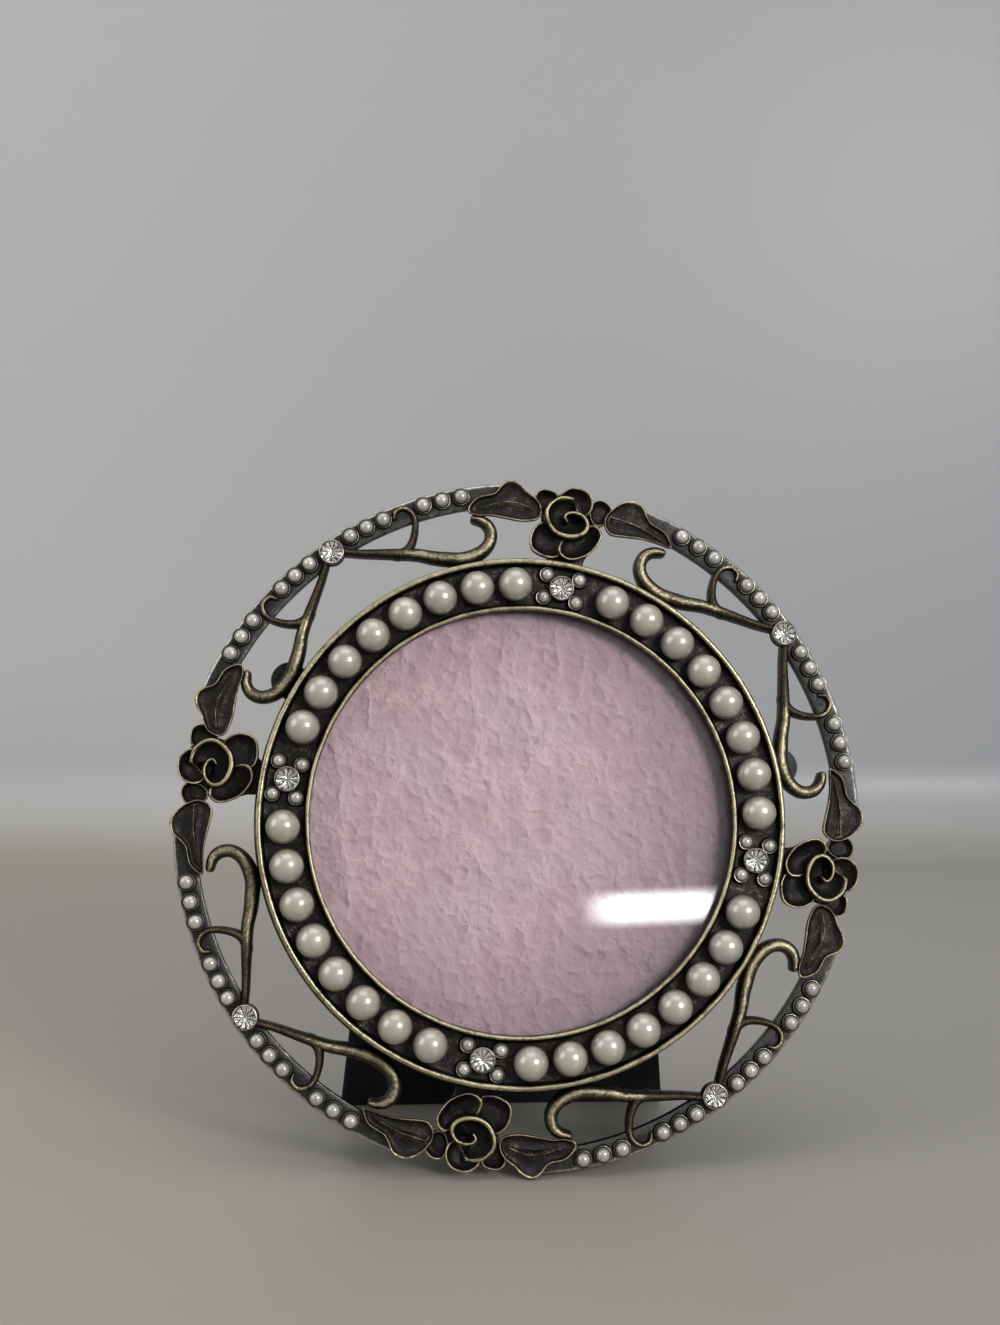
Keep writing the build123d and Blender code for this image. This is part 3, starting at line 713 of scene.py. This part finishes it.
def foilShape():
    bm = lathe(newMesh(), gem["foil"], gem["pleats"] * 6)
    rubLayer = bm.verts.layers.float["rubAndShade"]
    for vert in bm.verts:
        angle = atan2(vert.co.y, vert.co.x)
        pleat = cos(gem["pleats"] * angle + gem["bend"] * sin(3 * angle))
        vert.co.z -= gem["pleat"] * (1 + pleat) * vert.co.xy.length / gem["foilRadius"]
        # The pleat share sets the painted reflection: dark rays on the foil's colour
        vert[rubLayer] = (1 + pleat) / 2
    return asShape(bm)


stoneShape, foilCup = gemShape(), foilShape()

# Outer band, with (radius, height, rub) across it
band = {
    "outline": (
        (68.62, -9.4, 0.45), (68.6, -7.35, 0.3), (68.7, -7.1, 0.65), (68.95, -7, 0.45), (70, -6.98, 0.28),
        (71.5, -6.98, 0.24), (72.5, -6.98, 0.3), (72.9, -7, 0.75), (73.2, -7.1, 1.05), (73.42, -7.35, 0.95),
        (73.5, -7.9, 0.4), (73.45, -9.4, 0.5),
    ),
    "endTurn": 11.5, "steps": 110, "pearlRadius": 71.344, "stoneRadius": 70.511,
    "pearlTurns": (4.3, 7.5, 10.7, 18.1, 21.5, 24.9), "top": -7, "seed": 40, "toneSpread": 0.8,
}


def buildBands():
    half = 45 - band["endTurn"]
    for corner, cornerName in enumerate(cornerNames):
        axis = 45 + 90 * corner
        bm = newMesh()
        start = [addVert(bm, (0, radius, height), rubAndShade) for radius, height, rubAndShade in band["outline"]]
        bmesh.ops.rotate(bm, cent=(0, 0, 0), matrix=turned(axis - half).to_3x3(), verts=start)
        face = bm.faces.new(start)
        bmesh.ops.spin(bm, geom=[face], cent=(0, 0, 0), axis=(0, 0, -1), dvec=(0, 0, 0), angle=radians(2 * half),
                       steps=band["steps"])
        bmesh.ops.contextual_create(bm, geom=[e for e in bm.edges if e.is_boundary])
        finishPiece("outerBand_" + cornerName, bm, greyBrass, ["band_" + cornerName])
        cups, small, collets = newMesh(), newMesh(), newMesh()
        random.seed(band["seed"] + corner)
        for turn in band["pearlTurns"]:
            for hand in (-1, 1):
                spot = atTurn(axis + hand * turn, band["pearlRadius"], band["top"])
                stamp(cups, cupShape, spot)
                stamp(small, smallShape, spot, random.random() * band["toneSpread"])
        stamp(collets, colletShape, atTurn(axis, band["stoneRadius"], band["top"]))
        finishPiece("bandCups_" + cornerName, cups, cupBrass, [])
        finishPiece("bandPearls_" + cornerName, small, smallPearl, ["band_pearls_" + cornerName])
        finishPiece("bandCollet_" + cornerName, collets, colletBrass, [])


buildBands()
print("ring and bands made")


def buildPearls():
    first = -(pearls["perQuarter"] - 1) / 2
    for corner, cornerName in enumerate(cornerNames):
        bm = newMesh()
        random.seed(pearls["seed"] + corner)
        for i in range(pearls["perQuarter"]):
            turn = 45 + 90 * corner + stance["pearlTurn"] + (first + i) * pearls["pitch"]
            stamp(bm, largeShape, atTurn(turn, pearls["ringRadius"], pearls["floor"]),
                  random.random() * pearls["toneSpread"])
        finishPiece("largePearls_" + cornerName, bm, largePearl, ["large_pearls_" + cornerName])


cluster = {"reach": 3.5, "rise": 2.5, "pearlShare": 0.88, "seed": 70}


def buildClusters():
    reach, rise = cluster["reach"], cluster["rise"]
    stonesAt = []
    for side, sideName in enumerate(sideNames):
        random.seed(cluster["seed"] + side)
        centre = atTurn(90 * side, pearls["ringRadius"], pearls["floor"])
        stonesAt.append(castings @ centre)
        corners = [Matrix.Translation((x, y, 0)) for x in (-reach, reach) for y in (-rise, rise)]
        cups, small = newMesh(), newMesh()
        for corner in corners:
            stamp(cups, clusterCup, centre @ corner)
            stamp(small, smallShape, centre @ corner @ Matrix.Scale(cluster["pearlShare"], 4), random.random())
        stamp(cups, colletShape, centre)
        finishPiece("clusterCups_" + sideName, cups, cupBrass, [])
        finishPiece("clusterPearls_" + sideName, small, smallPearl, ["cluster_pearls_" + sideName])
    return stonesAt


def buildStones(name, places, node):
    stones, foils = newMesh(), newMesh()
    for index, place in enumerate(places):
        twist = Matrix.Translation((0, 0, gem["girdleRise"])) @ turned(gem["twist"] + gem["twistStep"] * index)
        stamp(stones, stoneShape, place @ twist)
        stamp(foils, foilCup, place @ twist)
    finishPiece(name, stones, clearStone, [node], unmoved, sharp=1)
    finishPiece(name + "Foil", foils, stoneFoil, [], unmoved, sharp=5)


buildPearls()
clusterPlaces = buildClusters()
buildStones("clusterStones", clusterPlaces, "cluster_stones")
buildStones("bandStones", [castings @ atTurn(45 + 90 * c, band["stoneRadius"], band["top"]) for c in range(4)],
            "band_stones")
print("pearls and stones made")

# Stems with their hooks. Routes are (x, y, width), with the band's stone straight up
scroll = {
    "stem": (
        (2.3, 69.2, 1.7), (5, 67, 1.8), (7.8, 65, 2), (10.5, 63.1, 2.3), (15, 59.8, 2.7), (17.5, 57.3, 3),
        (19.6, 55.5, 3.2), (22.3, 53.5, 3.3), (25.3, 52.5, 3.2), (28, 52.5, 2.9), (30.2, 53.6, 2.8),
        (31.3, 55.6, 2.7), (31, 57.6, 2.4), (29.8, 59.1, 2),
    ),
    "hook": (
        (9.6, 63.6, 1), (11.4, 62.2, 2.3), (13.4, 61.7, 2.4), (15.3, 62.4, 1.9), (17.3, 64, 1.65),
        (19, 66.3, 1.45), (19.2, 68.2, 1.3), (18.2, 69.8, 1.25), (16.4, 70, 1.2), (15.4, 69, 1),
    ),
    "back": -9.4, "stemCrest": -5.6, "hookCrest": -5.8,
}
stemSection = (
    (-0.94, 0, 0.35), (-1, 0.25, 0.08), (-1, 0.52, 0.1), (-0.92, 0.7, 0.16), (-0.74, 0.85, 0.4),
    (-0.42, 0.96, 0.85), (0, 1, 1), (0.42, 0.96, 0.7), (0.74, 0.85, 0.3), (0.92, 0.7, 0.12),
    (1, 0.52, 0.08), (1, 0.25, 0.08), (0.94, 0, 0.35),
)


def buildScrolls():
    bm = newMesh()
    sweep(bm, stemSection, flow(scroll["stem"], 7), scroll["back"], scroll["stemCrest"])
    sweep(bm, stemSection, flow(scroll["hook"], 6), scroll["back"], scroll["hookCrest"])
    shape = asShape(bm)
    for corner in range(4):
        for hand in (-1, 1):
            side = (corner + (hand + 1) // 2) % 4
            ends = counterEnds if hand > 0 else clockwiseEnds
            name = sideNames[side] + "_" + ends[side]
            piece = newMesh()
            place = turned(45 + 90 * corner) @ (unmoved if hand > 0 else flipped)
            stamp(piece, shape, place)
            finishPiece("stem_" + name, piece, stemBrass, ["scroll_" + name], sharp=60)


buildScrolls()
print("stems made")

# Leaves beside the roses, in the rose's own axes. Points are (x, y)
leafShapes = {
    "broad": {
        "outline": (
            (-22.5, 63.9), (-22.3, 65.6), (-21, 67.4), (-19.4, 68.2), (-18, 68.7), (-17.1, 69.5), (-16.4, 71),
            (-15.4, 72.2), (-13.9, 72.6), (-12, 71.9), (-10.6, 70.7), (-9.2, 70), (-7.4, 68.6), (-6.6, 66.4),
            (-7.2, 65), (-9.1, 64.2), (-11.5, 63.8), (-14.9, 63.9), (-17.8, 63.9), (-20.2, 63.4),
        ),
        "spine": ((-19.3, 65.5), (-14.5, 67.4), (-9, 67.2)),
        "vein": ((-18.6, 66, 0.30), (-15, 67.5, 0.42), (-12, 67.8, 0.45), (-8.6, 67, 0.5)),
    },
    "slim": {
        "outline": (
            (22.5, 63.9), (22.1, 65.1), (20.9, 66.9), (19.1, 67.8), (17.2, 68.6), (16, 70.2), (14.9, 72),
            (13, 72.8), (11.3, 72.6), (9.6, 71.4), (8.3, 70), (7.2, 68), (7.4, 66), (8.2, 64.9),
            (9.3, 64.3), (11.8, 64.4), (15.2, 64.7), (18, 64.6), (20.4, 64.2),
        ),
        "spine": ((19.6, 65.6), (14.5, 67.6), (9.3, 67.8)),
        "vein": ((18.8, 65.9, 0.28), (15.6, 67, 0.4), (12.4, 67.9, 0.45), (8.6, 68.4, 0.5)),
    },
    "back": -7.05, "rim": -5.2, "rimWave": 0.25, "rimGrain": 0.4, "veinBack": -6.3, "veinTop": -5.62,
    "levels": (
        (0.10, 1, 0.35), (0.02, 0.85, 0.15), (0, 0.4, 0.1), (0, 0.12, 0.5), (0.03, 0, 1), (0.08, 0, 1),
        (0.13, 0.1, 0.45), (0.2, 0.36, 0.1), (0.38, 0.52, 0.06), (0.62, 0.50, 0.06), (0.82, 0.40, 0.14),
        (0.96, 0.34, 0.25),
    ),
}
wireSection = mirrored((-1, 0, 0.05), (-0.85, 0.55, 0.2), (-0.45, 0.92, 0.6), (0, 1, 0.75))


def leafShape(kind):
    look = leafShapes[kind]
    bm = newMesh()
    grain = leafShapes["rimGrain"]
    outline = []
    for point in flow(look["outline"], 3, closed=True):
        wave = noise.noise(Vector((point.x * grain, point.y * grain, 2)))
        outline.append(Vector((point.x, point.y, leafShapes["rim"] + leafShapes["rimWave"] * wave)))
    cupForm(bm, outline, look["spine"], leafShapes["back"], leafShapes["levels"])
    sweep(bm, wireSection, flow(look["vein"], 5), leafShapes["veinBack"], leafShapes["veinTop"])
    return asShape(bm)


def buildLeaves():
    shapes = {"broad": leafShape("broad"), "slim": leafShape("slim")}
    for side, sideName in enumerate(sideNames):
        for kind in ("broad", "slim"):
            clockwise = (kind == "slim") == (side % 2 == 0)
            name = sideName + "_" + (clockwiseEnds if clockwise else counterEnds)[side]
            bm = newMesh()
            stamp(bm, shapes[kind], sidePlace(side))
            finishPiece("leaf_" + name, bm, roseBrass, ["leaf_" + name], rounds=1)


buildLeaves()

# Roses. Petal points are (x, y, rim height), heart points (x, y, width, crest)
rose = {
    "petals": (
        {"spine": ((0.6, 70.2),), "outline": (
            (-3.4, 71, -5.6), (-1.9, 73, -5.4), (0.4, 73.5, -5.3), (2.6, 72.9, -5.3), (4, 71.2, -5.4),
            (4.1, 69, -5.6), (2.8, 67.4, -6.4), (-0.2, 67.2, -7.6), (-2.8, 68.8, -7.4))},
        {"spine": ((6.2, 69),), "outline": (
            (4.2, 71.2, -6.2), (5.7, 71.9, -6.1), (7.4, 71.4, -6), (8.5, 70, -6), (8.4, 68.2, -6),
            (7, 66.2, -6.1), (4.9, 66.2, -6.4), (3.7, 68.6, -6.6))},
        {"spine": ((-6, 69.4),), "outline": (
            (-8.7, 70.2, -6.1), (-7.9, 71.7, -6), (-6.2, 72.1, -6), (-4.2, 71.7, -6.1), (-3.4, 70, -6.5),
            (-4.4, 67.2, -6.8), (-6.4, 66.2, -6.5), (-8, 68.2, -6.2))},
        {"spine": ((-4.6, 61.3),), "outline": (
            (-5.8, 65, -5.9), (-7.8, 63.1, -5.8), (-8.3, 60.5, -5.7), (-7.6, 58.4, -5.7), (-5.7, 57.4, -5.8),
            (-2.9, 57.1, -5.9), (-0.9, 58.4, -6.3), (-1.2, 61.8, -6.5), (-3.4, 64.2, -6.3))},
        {"spine": ((2.8, 61.6),), "outline": (
            (6.4, 65.6, -5.5), (7.2, 63.9, -5.3), (6.7, 61.9, -5.2), (5.1, 59.4, -5.2), (2.4, 57.6, -5.2),
            (0.1, 57.3, -5.2), (-1.7, 58.5, -5.2), (-1.7, 60.6, -5.4), (-0.4, 62.6, -5.9), (2.6, 64.2, -6),
            (4.6, 66, -5.8))},
        {"spine": ((-0.9, 66.4),), "outline": (
            (-0.3, 70.9, -4.9), (-2.8, 70.7, -4.8), (-5, 69.2, -4.7), (-5.9, 67.1, -4.6), (-5.3, 64.8, -4.5),
            (-3.4, 62.6, -4.4), (-0.6, 61.8, -4.3), (2.2, 62.4, -4.3), (3.6, 64, -4.4), (3.5, 65.8, -5.2),
            (2.2, 67.6, -6.8), (0.8, 69.4, -6.9))},
    ),
    "levels": (
        (0.16, 1, 0.35), (0.08, 0.85, 0.15), (0.02, 0.5, 0.15), (0, 0.2, 0.35), (0, 0.05, 0.8),
        (0.04, 0, 1), (0.09, 0, 0.95), (0.14, 0.06, 0.5), (0.2, 0.18, 0.15), (0.34, 0.34, 0.06),
        (0.55, 0.44, 0.03), (0.8, 0.5, 0), (0.95, 0.52, 0),
    ),
    "heart": (
        (-0.4, 70.9, 0.7, -5), (-2.8, 70.6, 0.9, -4.5), (-4.8, 69, 1.1, -4.3), (-5.6, 67.1, 1.25, -4.2),
        (-5, 64.9, 1.35, -4.15), (-3.2, 62.9, 1.5, -4.1), (-0.6, 62.2, 1.6, -4.05), (2, 62.8, 1.5, -4),
        (3.4, 64.1, 1.35, -4), (3.5, 65.7, 1.2, -4), (2.4, 67.1, 1.1, -4), (0.6, 67.6, 1, -4),
        (-1, 67.2, 0.95, -4), (-1.6, 66.3, 0.9, -4), (-0.9, 65.4, 0.75, -4.1),
    ),
    "foot": (
        (-2.4, 55.6), (-3.8, 57.4), (-7.9, 61.5), (-6.2, 64.5), (-6.8, 67), (-7.9, 70), (-5, 71.2), (-2, 72.2),
        (1.5, 72.6), (4, 71), (7.2, 70.6), (7.6, 68.4), (5.6, 66), (6.2, 63), (5.2, 60), (4.2, 58),
        (3.6, 55.6),
    ),
    "footLevels": ((0.02, 1, 0.35), (0, 0.7, 0.05), (0, 0.2, 0.15), (0.02, 0, 0.2), (0.2, 0, 0),
                   (0.9, 0, 0)),
    "footSpine": ((-0.5, 65),), "back": -9.4, "heartFloor": -8.2, "footTop": -7.4,
}
wallSection = mirrored((-1, 0, 0), (-0.98, 0.5, 0), (-0.9, 0.8, 0.1), (-0.66, 0.94, 0.7), (-0.25, 1, 1))


def roseShape():
    bm = newMesh()
    for petal in rose["petals"]:
        cupForm(bm, flow(petal["outline"], 4, closed=True), petal["spine"], rose["back"], rose["levels"])
    sweep(bm, wallSection, flow(rose["heart"], 5), rose["heartFloor"], 0)
    foot = [Vector((p.x, p.y, rose["footTop"])) for p in flow(rose["foot"], 2, closed=True)]
    cupForm(bm, foot, rose["footSpine"], rose["back"], rose["footLevels"])
    return asShape(bm)


def buildRoses():
    shape = roseShape()
    for side, sideName in enumerate(sideNames):
        bm = newMesh()
        stamp(bm, shape, sidePlace(side))
        finishPiece("rose_" + sideName, bm, roseBrass, ["rose_" + sideName], rounds=1)


buildRoses()
print("leaves and roses made")

# Crinkled paper behind the glass
paper = {"radius": 47.3, "front": -5.06, "back": -5.29, "cells": 270, "crumple": 0.2, "squash": 0.55,
         "slantScale": 0.7, "broadWave": 0.42, "fineWave": 0.6, "fineShare": 0.6, "sharpness": 1.5}


def buildPaper():
    bm = newMesh()
    bmesh.ops.create_grid(bm, x_segments=paper["cells"], y_segments=paper["cells"], size=paper["radius"])
    outside = [v for v in bm.verts if v.co.xy.length > paper["radius"]]
    bmesh.ops.delete(bm, geom=outside, context="VERTS")
    for vert in bm.verts:
        x, y = vert.co.xy
        slanted = Vector((x + y, paper["squash"] * (y - x), 0)) * paper["slantScale"]
        broad = abs(noise.noise(slanted * paper["broadWave"] + Vector((3, 9, 4))))
        sharp = broad + paper["fineShare"] * abs(noise.noise(vert.co * paper["fineWave"]))
        vert.co.z = paper["front"] - paper["crumple"] * min(1, paper["sharpness"] * sharp)
    verts, edges = pulled(bm, [e for e in bm.edges if e.is_boundary])
    for vert in verts:
        vert.co.z = paper["back"]
    bmesh.ops.contextual_create(bm, geom=edges)
    finishPiece("paperInsert", bm, pinkPaper, ["paper_insert"], upright, sharp=60)


buildPaper()

# Velvet panel and leg. The leg is drawn folded, then opened about the hinge pin
panel = {
    "outline": ((0.0, -6.95, 0), (52.9, -6.95, 0), (53.4, -7.3, 0), (53.45, -8.6, 0), (53.2, -9.1, 0), (52.6, -9.36, 0),
                (51.5, -9.4, 0), (30.0, -9.4, 0), (0.0, -9.4, 0)),
    "steps": 160,
}
leg = {
    "topWidth": 56.0, "footWidth": 75.0, "top": 17.5, "length": 93.117, "front": -9.8, "back": -12.4,
    "cornerRound": 3.0, "edgeRound": 0.7, "sharpest": 35, "floorGap": 0.0001, "pinUp": 20.0, "pinDepth": 11.6,
    "spread": 25.4, "aside": -1.4,
}


def buildPanel():
    bm = lathe(newMesh(), panel["outline"], panel["steps"], closed=False)
    finishPiece("backPanel", bm, blackVelvet, ["back_panel"], upright, sharp=50)


def buildLeg():
    bm = newMesh()
    foot = leg["pinUp"] - leg["length"]
    halfTop, halfFoot = leg["topWidth"] / 2, leg["footWidth"] / 2
    corners = ((-halfTop, leg["top"]), (halfTop, leg["top"]), (halfFoot, foot), (-halfFoot, foot))
    face = bm.faces.new([bm.verts.new((x, y, leg["back"])) for x, y in corners])
    made = bmesh.ops.extrude_face_region(bm, geom=[face])["geom"]
    bmesh.ops.translate(bm, vec=(0, 0, leg["front"] - leg["back"]), verts=ringEdges(made)[0])
    uprights = [e for e in bm.edges if abs(e.verts[0].co.z - e.verts[1].co.z) > 1 and e.verts[0].co.y < 0]
    roundOff(bm, uprights, leg["cornerRound"], 8)
    pin = Matrix.Translation((leg["aside"], leg["pinUp"], -leg["pinDepth"]))
    folded = Matrix.Translation((0, -leg["pinUp"], leg["pinDepth"]))
    opened = upright @ pin @ Matrix.Rotation(radians(leg["spread"]), 4, "X") @ folded
    bmesh.ops.transform(bm, matrix=opened, verts=bm.verts)
    cut = bmesh.ops.bisect_plane(bm, geom=bm.verts[:] + bm.edges[:] + bm.faces[:], plane_co=(0, 0, leg["floorGap"]),
                                 plane_no=(0, 0, -1), clear_outer=True)["geom_cut"]
    bmesh.ops.contextual_create(bm, geom=[g for g in cut if isinstance(g, bmesh.types.BMEdge)])
    bmesh.ops.recalc_face_normals(bm, faces=bm.faces)
    rims = [e for e in bm.edges if e.is_manifold and e.calc_face_angle() > radians(leg["sharpest"])]
    roundOff(bm, rims, leg["edgeRound"] * mm, 3)
    finishPiece("easelLeg", bm, blackVelvet, ["easel_leg"], unmoved, body="leg", sharp=60)


buildPanel()
buildLeg()
print("paper, panel and leg made")

# Shelf that runs up into the wall
room = {"wallAt": 0.304, "cove": 0.035, "reach": 3.0, "paintedShadeReach": 0.25,
        "wall": (shade(201, 200, 199), shade(164, 167, 171)), "shelf": (shade(164, 159, 151), shade(150, 147, 142))}


def roomMaterial():
    material, tree, shader = newMaterial("roomPaint", {"Roughness": 0.38, "Specular IOR Level": 0.35})
    coords = objectCoords(tree)
    spot = axesOf(tree, coords)
    # Painted shade: wall and shelf are lighter on the left and darker on the right
    aside = ranged(tree, spot["X"], -room["paintedShadeReach"], room["paintedShadeReach"])
    shelf, wall = (blendColours(tree, aside, *room[part]) for part in ("shelf", "wall"))
    colour = blendColours(tree, ranged(tree, spot["Z"], 0.0, room["cove"] * 0.8), shelf, wall)
    feed(tree, shader, "Base Color", colour)
    # From behind, the wall is looked through
    seeThrough(tree, shader, addNode(tree, "NewGeometry").outputs["Backfacing"])
    return material


def buildRoom():
    bm = bmesh.new()
    start = [bm.verts.new((x, -room["reach"], 0)) for x in (-room["reach"], room["reach"])]
    edge = bm.edges.new(start)
    reach = room["wallAt"] - room["cove"]
    stops = [(reach + room["cove"] * sin(radians(a)), room["cove"] * (1 - cos(radians(a)))) for a in range(0, 91, 6)]
    for y, z in [*stops, (room["wallAt"], room["reach"])]:
        verts, edges = pulled(bm, [edge])
        for vert in verts:
            vert.co.y, vert.co.z = y, z
        edge = next(e for e in edges if abs(e.verts[0].co.x - e.verts[1].co.x) > 1)
    bmesh.ops.recalc_face_normals(bm, faces=bm.faces)
    if bm.faces[0].normal.z < 0:
        bmesh.ops.reverse_faces(bm, faces=bm.faces)
    mesh = asShape(bm, "room")
    mesh.shade_smooth()
    mesh.materials.append(roomMaterial())
    sheet = newObject("room", mesh)


buildRoom()

# Camera and light
view = {"fromRing": (-29.56, -359.49, 70.96), "yaw": 3.88, "pitch": 6.0, "roll": 0.55, "lens": 47.547,
        "sensor": 36.0, "frame": (1000, 1325)}


def buildCamera():
    data = bpy.data.cameras.new("camera")
    data.lens, data.sensor_width = view["lens"], view["sensor"]
    camera = newObject("camera", data)
    camera.matrix_world = (Matrix.Translation(ringCentre + Vector(view["fromRing"]) * mm)
                           @ Matrix.Rotation(-radians(view["yaw"]), 4, "Z")
                           @ Matrix.Rotation(radians(90 - view["pitch"]), 4, "X")
                           @ Matrix.Rotation(radians(view["roll"]), 4, "Z"))
    bpy.context.scene.camera = camera
    return camera


camera = buildCamera()


def addLamp(name, centre, target, size, radiance, colour):
    data = bpy.data.lights.new(name, "AREA")
    data.shape = "RECTANGLE"
    data.size, data.size_y = size
    data.energy = radiance * pi * size[0] * size[1]
    data.color = colour
    lamp = newObject(name, data)
    facing = (Vector(target) - Vector(centre)).to_track_quat("-Z", "Y")
    lamp.matrix_world = Matrix.Translation(centre) @ facing.to_matrix().to_4x4()
    return lamp


# The window strip mirrored in the glass: the lamp lies where its mirror image falls on this pixel
strip = {"pixel": (662, 907), "glassFront": 3.4, "distance": 2.0, "size": (0.235, 0.058), "radiance": 19.0,
         "softEnds": 0.3, "softSides": 0.42}


def stripPlace():
    x, y = strip["pixel"]
    wide, high = view["frame"]
    fall = view["lens"] / view["sensor"] * high
    slope = Vector(((x - wide / 2) / fall, (high / 2 - y) / fall, -1))
    ray = (camera.matrix_world.to_3x3() @ slope).normalized()
    eye = camera.matrix_world.translation
    onGlass = ringCentre - faceNormal * strip["glassFront"] * mm
    hit = eye + ray * ((onGlass - eye).dot(faceNormal) / ray.dot(faceNormal))
    bounce = ray - 2 * ray.dot(faceNormal) * faceNormal
    return hit + bounce * strip["distance"], hit


centre, hit = stripPlace()
window = addLamp("windowStrip", centre, hit, strip["size"], strip["radiance"], (1, 0.99, 0.97))


def softenEdges(lamp):
    lamp.data.use_nodes = True
    tree = lamp.data.node_tree
    emission = tree.nodes["Emission"]
    spot = axesOf(tree, addNode(tree, "NewGeometry").outputs["Parametric"])
    shares = []
    for axis, edge in ((0, strip["softEnds"]), (1, strip["softSides"])):
        centred = sums(tree, "ABSOLUTE", sums(tree, "SUBTRACT", spot[axis], 0.5))
        shares.append(ranged(tree, centred, 0.5 - edge, 0.5, 1.0, 0.0))
    tree.links.new(sums(tree, "MULTIPLY", *shares), emission.inputs["Strength"])


softenEdges(window)
lamps = (
    ("keySoft", (0.52, -0.77, 0.46), (0.28, 0.28), 20.0, (1, 0.985, 0.96)),
    ("topSoft", (0.0, -0.15, 1.35), (1.1, 0.9), 1.2, (1, 0.995, 0.98)),
    ("leftSoft", (-1.25, -0.45, 0.75), (0.8, 1.0), 1.7, (0.96, 0.98, 1)),
)
for name, place, size, radiance, colour in lamps:
    addLamp(name, place, ringCentre, size, radiance, colour)


sky = {"colour": (0.97, 0.985, 1, 1), "up": (-0.3, 0.9), "upShare": 0.30, "behind": (-0.9, 0.2), "behindShare": 0.18,
       "least": 0.22}


def buildWorld():
    world = bpy.data.worlds.new("softRoom")
    world.use_nodes = True
    tree = world.node_tree
    spot = axesOf(tree, addNode(tree, "TexCoord").outputs["Generated"])
    up = ranged(tree, spot["Z"], *sky["up"])
    behind = ranged(tree, spot["Y"], *sky["behind"])
    level = sums(tree, "MULTIPLY_ADD", up, sky["upShare"],
                 sums(tree, "MULTIPLY_ADD", behind, sky["behindShare"], sky["least"]))
    back = tree.nodes["Background"]
    back.inputs["Color"].default_value = sky["colour"]
    tree.links.new(level, back.inputs["Strength"])
    bpy.context.scene.world = world


buildWorld()
bpy.context.scene.view_settings.view_transform = "Standard"

print("scene made")
